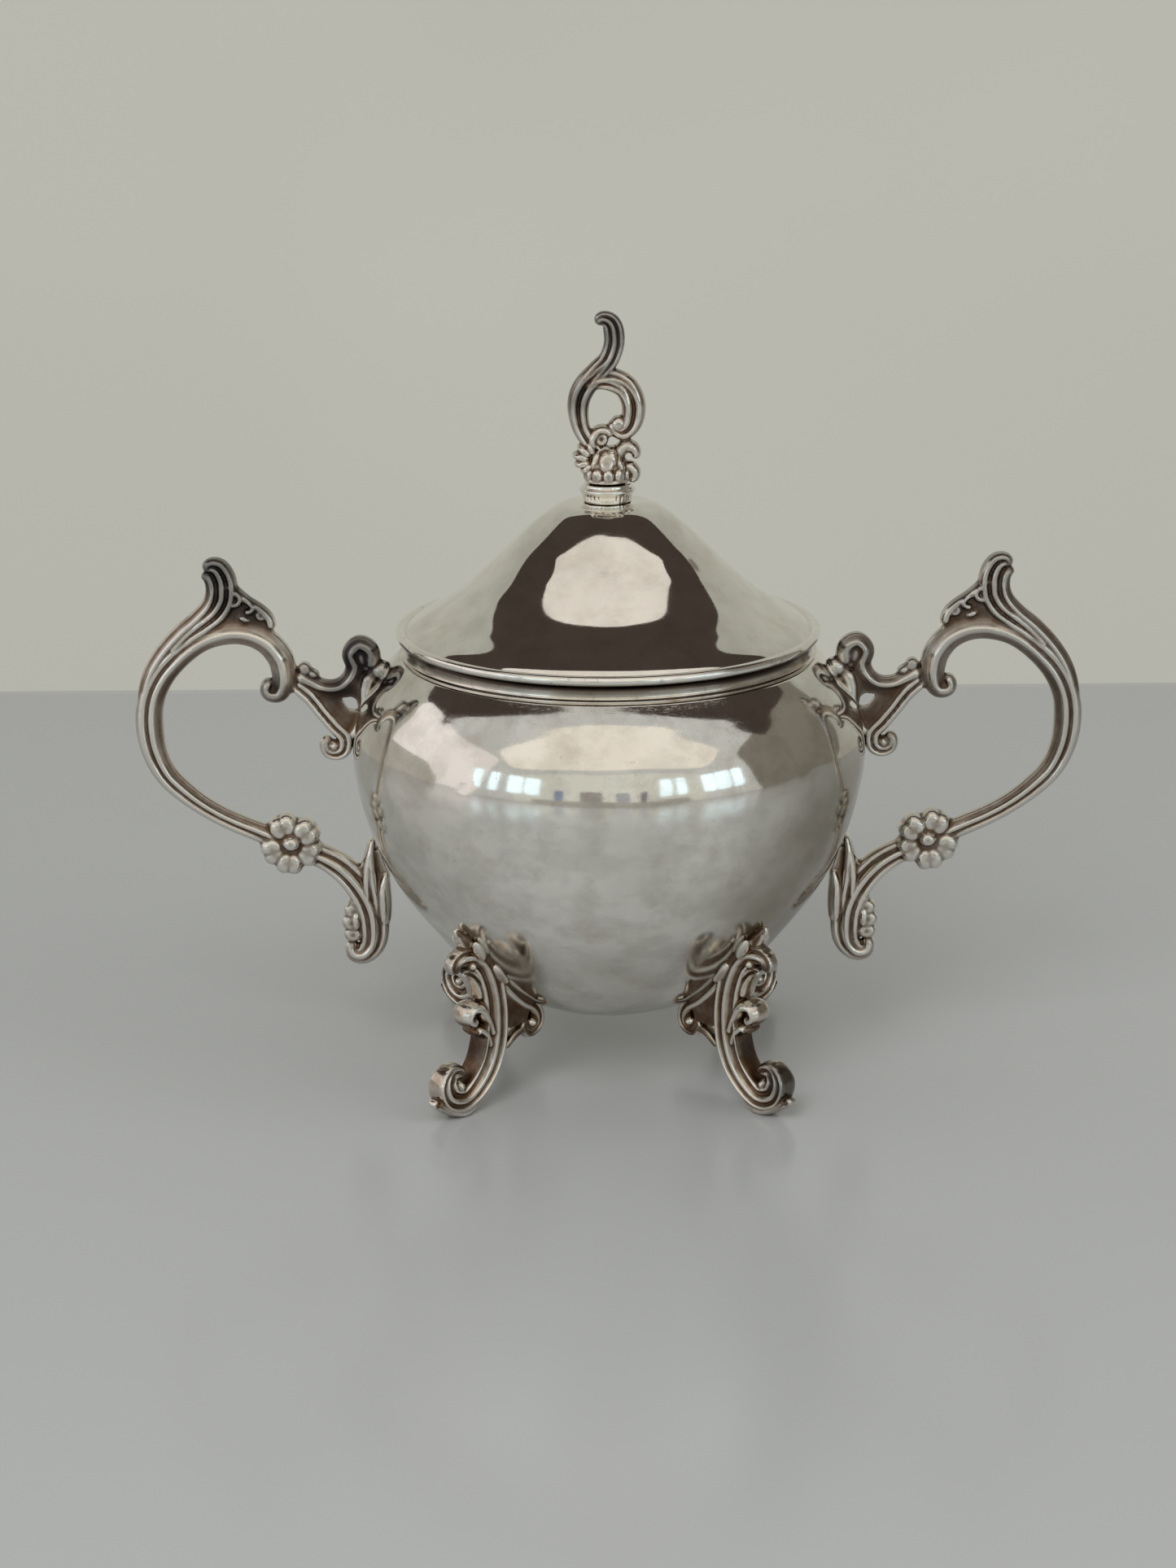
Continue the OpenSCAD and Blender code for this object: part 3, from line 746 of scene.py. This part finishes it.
def foot_leaf_parts():
    """The pointed leaf that the foot holds against the bowl, and the small leaves beside it."""
    skin, up = (0.72, 0, -0.62), (0.62, 0, 0.75)
    parts = [
        lobe((44.4, 0, 39), skin, up, (2.3, 4.4, 1.9)),
        lobe((46.2, 0, 41.2), skin, up, (1.2, 2.4, 1.2)),
        strand([[42.4, 35, 1, .8], [44.9, 37.9, .9, .8], [47.2, 41.2, .5, .5]]),
    ]
    for y in (-1, 1):
        upper, lower = (0.68, 0.45 * y, -0.6), (0.5, 0.8 * y, -0.5)
        parts.append(lobe((43.2, 2.6 * y, 37.4), upper, (0.6, 0.3 * y, 0.8), (1.5, 3.6, 1.1)))
        parts.append(lobe((36.6, 2.4 * y, 30.4), lower, (0.7, 0.2 * y, 0.7), (1.6, 3.4, 1.1), 0.2))
    return parts


def stand_flat(mesh):
    """Files the underside flat where the foot stands."""
    co = coordinates(mesh)
    co[:, 2] = np.maximum(co[:, 2], 0)
    move_points(mesh, co)


# ------ finial: [right of the axis, up]

TAIL = [
    [-1.2, 140.8, 1.1, 2], [-3.4, 142.8, 1.5, 2.1], [-5.4, 146, 1.8, 2.2], [-6.2, 149.6, 2.1, 2.3],
    [-6, 152.8, 2.3, 2.3], [-4.6, 155.8, 2.4, 2.4], [-1.9, 158.8, 2.3, 2.4], [.4, 161.3, 2.1, 2.3],
    [1.6, 164.5, 2.1, 2.2], [1.6, 167.5, 2.1, 2.1], [.8, 169.5, 1.9, 2], [-.9, 170.2, 1.5, 1.7],
    [-2.3, 169.2, 1, 1.4],
]
RING = [
    [-4.8, 154.6, 1.2, 1.9], [-2.4, 156.7, 1.8, 2.2], [1, 157, 2.4, 2.4], [4.1, 155.4, 2.5, 2.5],
    [5.7, 152.2, 2.5, 2.5], [5.7, 149, 2.4, 2.4], [4.8, 146.6, 2, 2.3], [3.1, 145.6, 1.7, 2.2],
    [1.4, 146.6, 1.3, 1.9], [1.7, 148.2, 1, 1.6],
]
HOOKS = [
    [
        [1.8, 137.6, 1.2, 2.3], [2.3, 140.4, 1.4, 2.6], [3.8, 142.4, 1.4, 2.6],
        [5.5, 142.2, 1.3, 2.4], [6.2, 140.8, 1.1, 2.1], [5.4, 140, .8, 1.8],
    ],
    [
        [2.6, 139.2, 1, 2.1], [3.6, 137.9, 1.1, 2.2], [5, 138, 1.2, 2.3], [6, 136.8, 1.2, 2.2],
        [5.7, 135.5, 1, 2], [4.6, 135, .8, 1.8],
    ],
    [
        [-2.6, 141.6, .9, 2.4], [-3.2, 144, 1, 2.6], [-1.8, 146, 1, 2.5], [.2, 145.8, 1, 2.3],
        [.8, 144.4, .8, 2],
    ],
]


TAIL_FACES = [
    (0, TWO_RIDGES), (5, TWO_RIDGES), (7, THREE_RIDGES), (10.5, THREE_RIDGES), (12, ROUND),
]
RING_FACES = [(0, ROUND), (1.5, THREE_RIDGES), (4, TWO_RIDGES), (6.5, TWO_RIDGES), (8, ROUND)]
FINIAL_WEB = [[-2.5, 134.6], [-3, 141], [-.6, 142.6], [2.4, 141.6], [2.6, 134.6]]
FINIAL_BASE_Z = 134.3
# The fan's rays: angle from the left in degrees, length, width
RAYS = [(66, 4.4, 1.0), (38, 5.0, 1.1), (12, 5.2, 1.1), (-14, 4.8, 1.05), (-40, 4.2, 1.0)]


def make_finial_mesh():
    parts = [
        strand(TAIL, TAIL_FACES),
        strand(RING, RING_FACES),
        lobe((2.5, 0, 147.4), FRONT, UP, (1.9, 1.9, 2.6), 0.12),
        plate(FINIAL_WEB, 2.1),
    ]
    parts += [strand(h) for h in HOOKS]
    parts += finial_leaf_parts()
    mesh = cast("finial_visual", parts, 0.16, 4)
    mark_recesses_and_shade(mesh, 0.6)
    smooth_shaded(mesh)
    return mesh


def finial_leaf_parts():
    """Leaves round the finial's base: a rayed fan on the left, broad leaves on the right and a
    fringe below."""
    base = FINIAL_BASE_Z
    parts = [
        lobe((0, 0, base + 3.2), UP, OUTWARD, (4.3, 4.3, 3.6)),
        lobe((0, 0, base + 0.9), UP, OUTWARD, (5.1, 5.1, 1.25)),
        lobe((-3.9, 0, 139.8), FRONT, (-0.2, 0, 1), (2.6, 3.6, 3.1), 0.35),
        lobe((0.9, 0, 139.4), FRONT, (0.1, 0, 1), (1.9, 3.4, 4.5), 0.1),
        lobe((2.9, 0, 138.2), FRONT, (-0.3, 0, 1), (1.3, 2.9, 4.0), 0.1),
        lobe((-1.2, 0, 144.2), FRONT, UP, (1.7, 1.8, 3), 0.4),
    ]
    for lean, reach, wide in RAYS:
        a = math.radians(lean)
        along = (-math.cos(a), 0, math.sin(a))
        centre = (-2.4 + along[0] * reach * 0.62, 0, 139.6 + along[2] * reach * 0.62)
        parts.append(lobe(centre, FRONT, along, (wide, reach * 0.42, 3.5), 0.12))
    parts += leaf_ring(11, 0.2, 4.35, base + 2.0, -0.1, (1.25, 1.7, 1.1), 0.2)
    parts += leaf_ring(6, 0.5, 3.0, base + 4.8, 0.3, (1.8, 2.7, 1.6), 0.25)
    return parts


def leaf_ring(count, start, radius, z, tilt, size, dish):
    """Leaves evenly round the axis, from the angle start."""
    parts = []
    for k in range(count):
        a = start + k * TAU / count
        out = (math.cos(a), math.sin(a), tilt)
        parts.append(lobe((radius * out[0], radius * out[1], z), out, UP, size, dish))
    return parts


# ------ materials


class Nodes:
    """Short names for building one material's nodes."""

    def __init__(self, name):
        self.material = bpy.data.materials.new(name)
        self.material.use_nodes = True
        self.tree = self.material.node_tree
        self.tree.nodes.clear()
        self.shader = self.tree.nodes.new("ShaderNodeBsdfPrincipled")
        out = self.tree.nodes.new("ShaderNodeOutputMaterial")
        self.tree.links.new(self.shader.outputs[0], out.inputs["Surface"])

    def put(self, socket, value):
        if isinstance(value, bpy.types.NodeSocket):
            self.tree.links.new(value, socket)
        else:
            socket.default_value = value

    def set(self, **values):
        for name, value in values.items():
            self.put(self.shader.inputs[name.replace("_", " ")], value)

    def node(self, kind, **inputs):
        """A new node with its inputs set by name."""
        made = self.tree.nodes.new("ShaderNode" + kind)
        for name, value in inputs.items():
            self.put(made.inputs[name.replace("_", " ")], value)
        return made

    def place(self, stretch=(1, 1, 1), turn=(0, 0, 0)):
        """Object coordinates in metres, stretched and turned."""
        coords = self.node("TexCoord").outputs["Object"]
        return self.node("Mapping", Vector=coords, Scale=stretch, Rotation=turn).outputs[0]

    def up(self):
        """Height above the table, in metres."""
        return self.node("SeparateXYZ", Vector=self.place()).outputs["Z"]

    def noise(self, scale, detail, rough, stretch=(1, 1, 1), turn=(0, 0, 0)):
        at = self.place(stretch, turn)
        made = self.node("TexNoise", Vector=at, Scale=scale, Detail=detail, Roughness=rough)
        return made.outputs["Fac"]

    def ramp(self, value, low, high, to_low=0.0, to_high=1.0):
        return self.node(
            "MapRange", Value=value, From_Min=low, From_Max=high, To_Min=to_low, To_Max=to_high,
        ).outputs[0]

    def clamped(self, kind, a, b):
        n = self.tree.nodes.new("ShaderNodeMath")
        n.operation = kind
        n.use_clamp = True
        self.put(n.inputs[0], a)
        self.put(n.inputs[1], b)
        return n.outputs[0]

    def times(self, a, b):
        return self.clamped("MULTIPLY", a, b)

    def plus(self, a, b):
        return self.clamped("ADD", a, b)

    def mix(self, factor, a, b):
        n = self.tree.nodes.new("ShaderNodeMix")
        n.data_type = "RGBA"
        self.put(n.inputs["Factor"], factor)
        self.put(n.inputs["A"], a if isinstance(a, bpy.types.NodeSocket) else (*a, 1))
        self.put(n.inputs["B"], b if isinstance(b, bpy.types.NodeSocket) else (*b, 1))
        return n.outputs["Result"]

    def attribute(self, name):
        n = self.tree.nodes.new("ShaderNodeAttribute")
        n.attribute_name = name
        return n.outputs["Fac"]

    def bump(self, height, distance):
        return self.node("Bump", Height=height, Distance=distance, Strength=1.0).outputs[0]


# Colours of the metal, of what lies on it, and of the painted shade under the lid
SILVER = (0.94, 0.92, 0.865)
SILVER_DULL = (0.84, 0.815, 0.755)
SILVER_BRIGHT = (0.90, 0.87, 0.81)
BROWN = (0.125, 0.070, 0.038)
TAN = (0.37, 0.275, 0.185)
BLACK = (0.022, 0.020, 0.024)
SMEAR = (0.60, 0.585, 0.525)
FILM = (0.27, 0.235, 0.175)
TAN_FILM = (0.47, 0.385, 0.29)
# Painted shade under the lid's edge and under the wire
PAINTED_SHADE_DARK = (0.045, 0.033, 0.025)
CAST_PALE, CAST_DULL = (0.68, 0.635, 0.575), (0.52, 0.47, 0.41)
BRASS, BRASS_STAIN = (0.62, 0.45, 0.21), (0.26, 0.17, 0.09)
# Polishing scratches: (turn, stretch, noise level above which a line shows)
SCRATCHES = [
    ((0.4, 0.2, 0.5), (9, 400, 400), 0.60), ((1.1, -0.5, 0.2), (400, 14, 400), 0.61),
    ((-0.7, 0.9, 1.2), (300, 300, 8), 0.62),
]


def hairlines(n, strength):
    """Fine polishing scratches in a few directions, and a faint grain, as a height."""
    height = None
    for turn, stretch, low in SCRATCHES:
        line = n.ramp(n.noise(9.0, 2, 0.6, stretch, turn), low, low + 0.10)
        height = line if height is None else n.plus(height, line)
    grain = n.noise(1900, 2, 0.6)
    return n.plus(n.times(height, strength), n.times(grain, 0.12))


def sheet_silver(name, roughness, cloud, haze, scratch):
    """Worn, cloudy silver plate of the bowl and lid: hazier lower down, brown where marked."""
    n = Nodes(name)
    patches = n.ramp(n.noise(48, 4, 0.55), 0.36, 0.66)
    smears = n.ramp(n.noise(104, 5, 0.58, (1, 1, 1.4)), 0.44, 0.60)
    blotches = n.ramp(n.noise(130, 5, 0.62), 0.50, 0.78)
    specks = n.ramp(n.noise(900, 2, 0.5), 0.70, 0.80)
    low = n.ramp(n.up(), 0.064, 0.080, 1.0, 0.25)
    colour = n.mix(n.times(patches, cloud), SILVER, SILVER_DULL)
    colour = n.mix(n.times(smears, 0.42 * cloud), colour, SMEAR)
    colour = n.mix(n.times(blotches, 0.32 * cloud), colour, TAN)
    colour = n.mix(n.times(specks, 0.22 * cloud), colour, BROWN)
    film = n.times(n.attribute("tarnish_and_shade"), n.ramp(patches, 0, 1, 0.75, 1.0))
    colour = n.mix(film, colour, FILM)
    worn = n.times(n.plus(n.ramp(patches, 0, 1, 0.3, 0.8), n.times(smears, 0.5)), low)
    rough = n.plus(n.times(worn, haze), roughness)
    n.set(Base_Color=colour, Metallic=1.0, Roughness=rough,
          Normal=n.bump(hairlines(n, 0.35), scratch))
    return n.material


def cast_silver(name, roughness, dirt_and_shade, age=1.0):
    """Cast silver plate: bright worn ridges, brown dirt in the hollows, brown painted shade on the
    feet's outer legs, black tarnish in places.
    """
    n = Nodes(name)
    cloud = n.noise(260, 4, 0.6)
    patch = n.noise(70, 3, 0.5)
    fine = n.ramp(n.attribute("fine"), 0.0, 0.06)
    broad = n.ramp(n.attribute("broad"), 0.0, 0.26 / age)
    hollow_and_shade = n.plus(n.times(fine, 0.55), n.times(broad, 1.0))
    hollow_and_shade = n.times(hollow_and_shade, n.ramp(cloud, 0.25, 0.60, 0.75, 1.0))
    ridge = n.ramp(n.attribute("fine"), -0.035, -0.006, 1.0, 0.0)
    skin = n.mix(n.ramp(patch, 0.35, 0.65), CAST_PALE, CAST_DULL)
    skin = n.mix(n.times(n.ramp(cloud, 0.38, 0.70), 0.5 * age), skin, TAN)
    skin = n.mix(n.times(ridge, 0.75), skin, SILVER_BRIGHT)
    # Brown for the dirt in the hollows and for the painted shade on the feet's outer legs.
    colour = n.mix(n.times(hollow_and_shade, dirt_and_shade), skin, BROWN)
    black = n.times(n.attribute("tarnish_and_shade"), n.ramp(ridge, 0, 1, 1.0, 0.72))
    colour = n.mix(black, colour, BLACK)
    rough = n.plus(n.ramp(hollow_and_shade, 0, 1, roughness, roughness + 0.22), n.ramp(black, 0, 1, 0, 0.12))
    grain = n.plus(n.times(cloud, 0.7), n.times(n.noise(1500, 3, 0.6), 0.3))
    n.set(Base_Color=colour, Metallic=1.0, Roughness=rough, Normal=n.bump(grain, 0.00004))
    return n.material


def trim_silver(name, film_depth=1.0):
    """The wire, band, bezel and collar: a tan film over the silver, with dark painted shade where
    marked.
    """
    n = Nodes(name)
    film = n.ramp(n.noise(85, 4, 0.6, (1, 1, 3)), 0.40, 0.70, 0.35 * film_depth, film_depth)
    spots = n.ramp(n.noise(420, 3, 0.5), 0.62, 0.78)
    colour = n.mix(film, SILVER, TAN_FILM)
    colour = n.mix(n.times(spots, 0.5), colour, BROWN)
    # Painted shade: dark under the lid's overhang on the band and under the wire.
    colour = n.mix(n.attribute("tarnish_and_shade"), colour, PAINTED_SHADE_DARK)
    n.set(Base_Color=colour, Metallic=1.0, Roughness=n.ramp(film, 0, 1, 0.11, 0.26),
          Normal=n.bump(n.noise(700, 3, 0.6), 0.000012))
    return n.material


def dull_brass(name):
    """The hidden stud, washer and nut."""
    n = Nodes(name)
    stain = n.ramp(n.noise(300, 4, 0.6), 0.35, 0.70)
    colour = n.mix(stain, BRASS, BRASS_STAIN)
    n.set(Base_Color=colour, Metallic=1.0, Roughness=n.ramp(stain, 0, 1, 0.28, 0.48),
          Normal=n.bump(n.noise(1600, 3, 0.6), 0.00002))
    return n.material


def plain_surface(name, colour, roughness):
    """A plain stage surface with the faintest unevenness."""
    n = Nodes(name)
    shade = n.ramp(n.noise(3, 2, 0.5), 0.3, 0.7)
    darker = tuple(0.97 * c for c in colour)
    n.set(Base_Color=n.mix(shade, colour, darker), Roughness=roughness)
    return n.material


def glow(name, colour, strength):
    material = bpy.data.materials.new(name)
    material.use_nodes = True
    tree = material.node_tree
    tree.nodes.clear()
    light = tree.nodes.new("ShaderNodeEmission")
    light.inputs["Color"].default_value = (*colour, 1)
    light.inputs["Strength"].default_value = strength
    out = tree.nodes.new("ShaderNodeOutputMaterial")
    tree.links.new(light.outputs[0], out.inputs["Surface"])
    return material


# ------ stage, lights and camera

# In metres
TABLE_FRONT, TABLE_BACK, TABLE_HALF_WIDTH, TABLE_THICKNESS, TABLE_EDGE = -2.2, 0.36, 2.5, 0.05, 0.03
WALL_Y, WALL_HALF_WIDTH, WALL_BOTTOM, WALL_TOP = 1.7, 6, -1.5, 3.5
CEILING_Z = 1.72
BOWL_MIDDLE = (0, 0, 0.1)


def make_table():
    """A plain pale table top whose rounded far edge lies behind the bowl."""
    profile = [(TABLE_FRONT, 0.0)]
    for t in np.linspace(0, math.pi / 2, 8):
        y, z = TABLE_BACK - TABLE_EDGE * (1 - math.sin(t)), -TABLE_EDGE * (1 - math.cos(t))
        profile.append((y, z))
    profile += [(TABLE_BACK, -TABLE_THICKNESS), (TABLE_FRONT, -TABLE_THICKNESS)]
    verts = [(side * TABLE_HALF_WIDTH, y, z) for side in (-1, 1) for y, z in profile]
    n = len(profile)
    faces = [[i, (i + 1) % n, n + (i + 1) % n, n + i][::-1] for i in range(n)]
    table = new_object("stage_table", verts, faces)
    table.data.materials.append(plain_surface("table_top", (0.435, 0.448, 0.457), 0.2))


def make_wall():
    corners = [(x, WALL_Y, z) for x, z in (
        (-WALL_HALF_WIDTH, WALL_BOTTOM), (WALL_HALF_WIDTH, WALL_BOTTOM),
        (WALL_HALF_WIDTH, WALL_TOP), (-WALL_HALF_WIDTH, WALL_TOP),
    )]
    wall = new_object("stage_wall", corners, [[3, 2, 1, 0]])
    wall.data.materials.append(plain_surface("wall_paint", (0.74, 0.735, 0.665), 0.8))


def reflector(name, centre, size, colour, squareness, bend=0.0, facing=BOWL_MIDDLE, strength=1.0):
    """A card seen only in reflections, with half sizes (across, up). A squareness of 2 is an
    ellipse, and more is squarer; bend curves it up toward both ends."""
    out = (Vector(facing) - Vector(centre)).normalized()
    side = Vector((1, 0, 0)) if abs(out.z) > 0.95 else Vector((0, 0, 1)).cross(out).normalized()
    up = Vector((0, 1, 0)) if abs(out.z) > 0.95 else out.cross(side)
    ring = []
    for k in range(64):
        a = k * TAU / 64
        c, s = math.cos(a), math.sin(a)
        x = math.copysign(abs(c) ** (2 / squareness), c) * size[0]
        y = math.copysign(abs(s) ** (2 / squareness), s) * size[1] + bend * x * x
        ring.append(Vector(centre) + side * x + up * y)
    card = new_object(name, [tuple(p) for p in ring], [list(range(64))])
    card.data.materials.append(glow(name, colour, strength))
    card.visible_camera = False
    card.visible_diffuse = False
    card.visible_shadow = False


def direction(azimuth, elevation, distance):
    """A point seen from the bowl: azimuth 0 is the camera's side, positive to the right."""
    a, e = math.radians(azimuth), math.radians(elevation)
    along = Vector((math.cos(e) * math.sin(a), -math.cos(e) * math.cos(a), math.sin(e)))
    return Vector(BOWL_MIDDLE) + distance * along


PANE = (0.80, 0.97, 1.04)
PANE_GLOW = 1.45
# Window panes: azimuth, half width
WINDOWS = [
    (-60, 0.10), (-52, 0.10), (-42, 0.16), (-34, 0.16), (24, 0.12), (31, 0.10), (44, 0.14),
    (51, 0.16), (58, 0.12),
]
# Dark shapes below the windows: azimuth, half width, colour
CUPBOARDS = [
    (-22, 0.09, (0.22, 0.27, 0.36)), (-8, 0.22, (0.30, 0.28, 0.27)), (6, 0.14, (0.36, 0.36, 0.38)),
    (15, 0.06, (0.2, 0.2, 0.22)),
]


def make_ceiling():
    """A dark ceiling overhead with a pale patch in it, and pale slopes to the front and left."""
    dark, pale = (0.058, 0.043, 0.037), (0.76, 0.71, 0.65)
    for name, (x, y, z), size, colour, squareness, bend in (
        ("card_overhead", (0.35, 0.19, CEILING_Z + 0.03), (2.85, 0.77), dark, 4.0, 0.1),
        ("card_overhead_pale", (0.05, -0.28, CEILING_Z), (1.15, 0.22), pale, 3.0, 0.28),
    ):
        reflector(name, (x, y, z), size, colour, squareness, bend, facing=(x, y, 0))
    reflector("card_front_ceiling", direction(0, 46, 2.6), (2.4, 0.78), (0.86, 0.81, 0.73), 6.0)
    reflector("card_left_ceiling", direction(-86, 18, 2.7), (1.5, 0.95), (0.84, 0.79, 0.77), 5.0)


def make_room():
    """The walls of the room before the bowl, with its windows, cupboards and counter."""
    for i, (azimuth, width) in enumerate(WINDOWS):
        place = direction(azimuth, 10, 2.6)
        reflector(f"card_window_{i}", place, (width, 0.30), PANE, 8.0, strength=PANE_GLOW)
    for azimuth, width, shade in CUPBOARDS:
        place = direction(azimuth, 5, 2.55)
        reflector(f"card_cupboard_{azimuth}", place, (width, 0.17), shade, 6.0)
    reflector("card_counter", direction(0, -1, 2.5), (1.7, 0.10), (0.36, 0.345, 0.31), 5.0)
    reflector("card_front_wall", direction(0, 9, 2.95), (2.7, 0.80), (0.66, 0.66, 0.60), 6.0)
    reflector("card_right", direction(97, 16, 2.7), (1.6, 1.2), (0.20, 0.185, 0.155), 4.0)
    reflector("card_left", direction(-104, -2, 2.6), (1.1, 0.5), (0.42, 0.40, 0.36), 4.0)


def area_light(name, position, target, size, energy, colour):
    light = bpy.data.lights.new(name, "AREA")
    light.shape = "DISK"
    light.size = size
    light.energy = energy
    light.color = colour
    lamp = bpy.data.objects.new(name, light)
    bpy.context.scene.collection.objects.link(lamp)
    lamp.visible_glossy = False
    lamp.location = position
    lamp.rotation_euler = (Vector(target) - Vector(position)).to_track_quat("-Z", "Y").to_euler()


def make_light():
    world = bpy.data.worlds.new("soft_grey")
    bpy.context.scene.world = world
    world.use_nodes = True
    back = world.node_tree.nodes["Background"]
    back.inputs["Color"].default_value = (0.65, 0.65, 0.63, 1)
    back.inputs["Strength"].default_value = 0.85
    area_light("light_key", (-0.35, -1.05, 0.95), (0, -0.25, 0.02), 0.8, 9.5, (1.0, 0.99, 0.97))
    area_light("light_fill", (1.1, -0.5, 0.9), (0, 0, 0.08), 0.8, 3.0, (1.0, 0.98, 0.95))


CAMERA_PLACE = (-0.0047, -0.7495, 0.2862)
CAMERA_LENS, SENSOR_WIDTH = 80.11, 36  # mm
CAMERA_DOWN, CAMERA_ROLL = 16.39, -0.0075  # degrees below level, radians


def make_camera():
    camera = bpy.data.cameras.new("camera")
    camera.lens = CAMERA_LENS
    camera.sensor_width = SENSOR_WIDTH
    obj = bpy.data.objects.new("camera", camera)
    bpy.context.scene.collection.objects.link(obj)
    tilt = Matrix.Rotation(math.radians(90 - CAMERA_DOWN), 4, "X")
    roll = Matrix.Rotation(CAMERA_ROLL, 4, "Z")
    obj.matrix_world = Matrix.Translation(CAMERA_PLACE) @ tilt @ roll
    bpy.context.scene.camera = obj
    bpy.context.scene.view_settings.view_transform = "Standard"


# ------ putting the bowl together


def finish_piece(obj, node, body, material):
    obj.data.materials.clear()
    obj.data.materials.append(material)
    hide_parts(node)
    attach(obj, body)


def build_turned_pieces():
    bowl_plate = sheet_silver("bowl_plate", 0.035, 1.0, 0.15, 0.0000035)
    lid_plate = sheet_silver("lid_plate", 0.04, 0.75, 0.02, 0.0000012)
    trim = trim_silver("trim_plate")
    wire = trim_silver("wire_plate", 0.15)
    bowl = make_bowl_shell()
    mark_tarnish(bowl.data, BOWL_FILM)
    finish_piece(bowl, "bowl_shell", "bowl", bowl_plate)
    finish_piece(make_neck_band(), "neck_band", "bowl", trim)
    finish_piece(make_lid_shell(), "lid_shell", "lid", lid_plate)
    finish_piece(make_rim_wire(), "lid_rim_wire", "lid", wire)
    finish_piece(make_bezel(), "lid_bezel", "lid", trim)


# Tarnish spots: (outward, lateral, up, radius, strength), in millimetres
BOWL_FILM = [
    (52, -26, 50, 33, 1.0), (-55, -22, 55, 24, 0.35), (-54, -8, 78, 24, 0.4),
    (0, -40, 28, 22, 0.22),
]
HANDLE_SPOTS = [
    (86, 0, 116, 7, 0.97), (83.5, 0, 109.5, 5.5, 0.88), (78, 0, 107.5, 5, 0.85),
    (55.5, 0, 96, 7, 0.97), (60, 0, 89, 4.5, 0.85), (58, 0, 88, 3.5, 0.8), (66, 0, 91, 3.5, 0.7),
    (74, 0, 89, 4, 0.7), (51.5, 0, 91.5, 4.5, 0.6), (80, 0, 80, 60, 0.08),
]
RIGHT_HANDLE_SPOTS = [(*at, 0.9 * radius, 0.62 * dark) for *at, radius, dark in HANDLE_SPOTS]
RIGHT_HANDLE_SPOTS.append((78, 0, 90, 42, 0.28))
FOOT_SPOTS = [(48, 0, 34, 3, 0.5), (42.5, 0, 14, 3.2, 0.55)]
TOE_SPOT = (53.5, 0, 9, 5)
FINIAL_SPOTS = [(0, 0, 168, 6.5, 0.8), (-5.5, 0, 154, 5, 0.65), (0, 0, 160, 4, 0.6)]
# Each foot's angle about the axis in degrees, and how tarnished its toe is
FEET = {
    "front_left": (225, 0.0), "front_right": (315, 0.75),
    "rear_left": (135, 0.3), "rear_right": (45, 0.2),
}


def build_castings():
    silver = cast_silver("cast_plate", 0.16, 0.95)
    handle = make_handle_mesh()
    for side, angle, spots in (("left", math.pi, HANDLE_SPOTS), ("right", 0, RIGHT_HANDLE_SPOTS)):
        mark_tarnish(handle, spots)
        obj = copy_turned(handle, f"handle_{side}_visual", angle)
        finish_piece(obj, f"handle_{side}", "bowl", silver)

    aged = cast_silver("foot_plate", 0.14, 1.0, 2.0)
    foot = make_foot_mesh()
    for name, (angle, dark) in FEET.items():
        mark_tarnish(foot, [(*TOE_SPOT, dark)] + FOOT_SPOTS)
        obj = copy_turned(foot, f"foot_{name}_visual", math.radians(angle))
        finish_piece(obj, f"foot_{name}", "bowl", aged)


def build_finial():
    silver = cast_silver("finial_plate", 0.13, 1.0, 1.6)
    finial = make_finial_mesh()
    mark_tarnish(finial, FINIAL_SPOTS)
    finish_piece(copy_turned(finial, "finial_visual", 0), "finial", "lid", silver)
    ringed = trim_silver("collar_plate", 0.3)
    finish_piece(make_collar(), "finial_collar", "lid", ringed)
    brass = dull_brass("hardware")
    for node in ("finial_stud", "finial_washer", "finial_nut"):
        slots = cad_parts[node].data.materials
        slots.clear()
        slots.append(brass)


make_camera()
make_light()
make_table()
make_wall()
make_ceiling()
make_room()
build_turned_pieces()
build_castings()
build_finial()
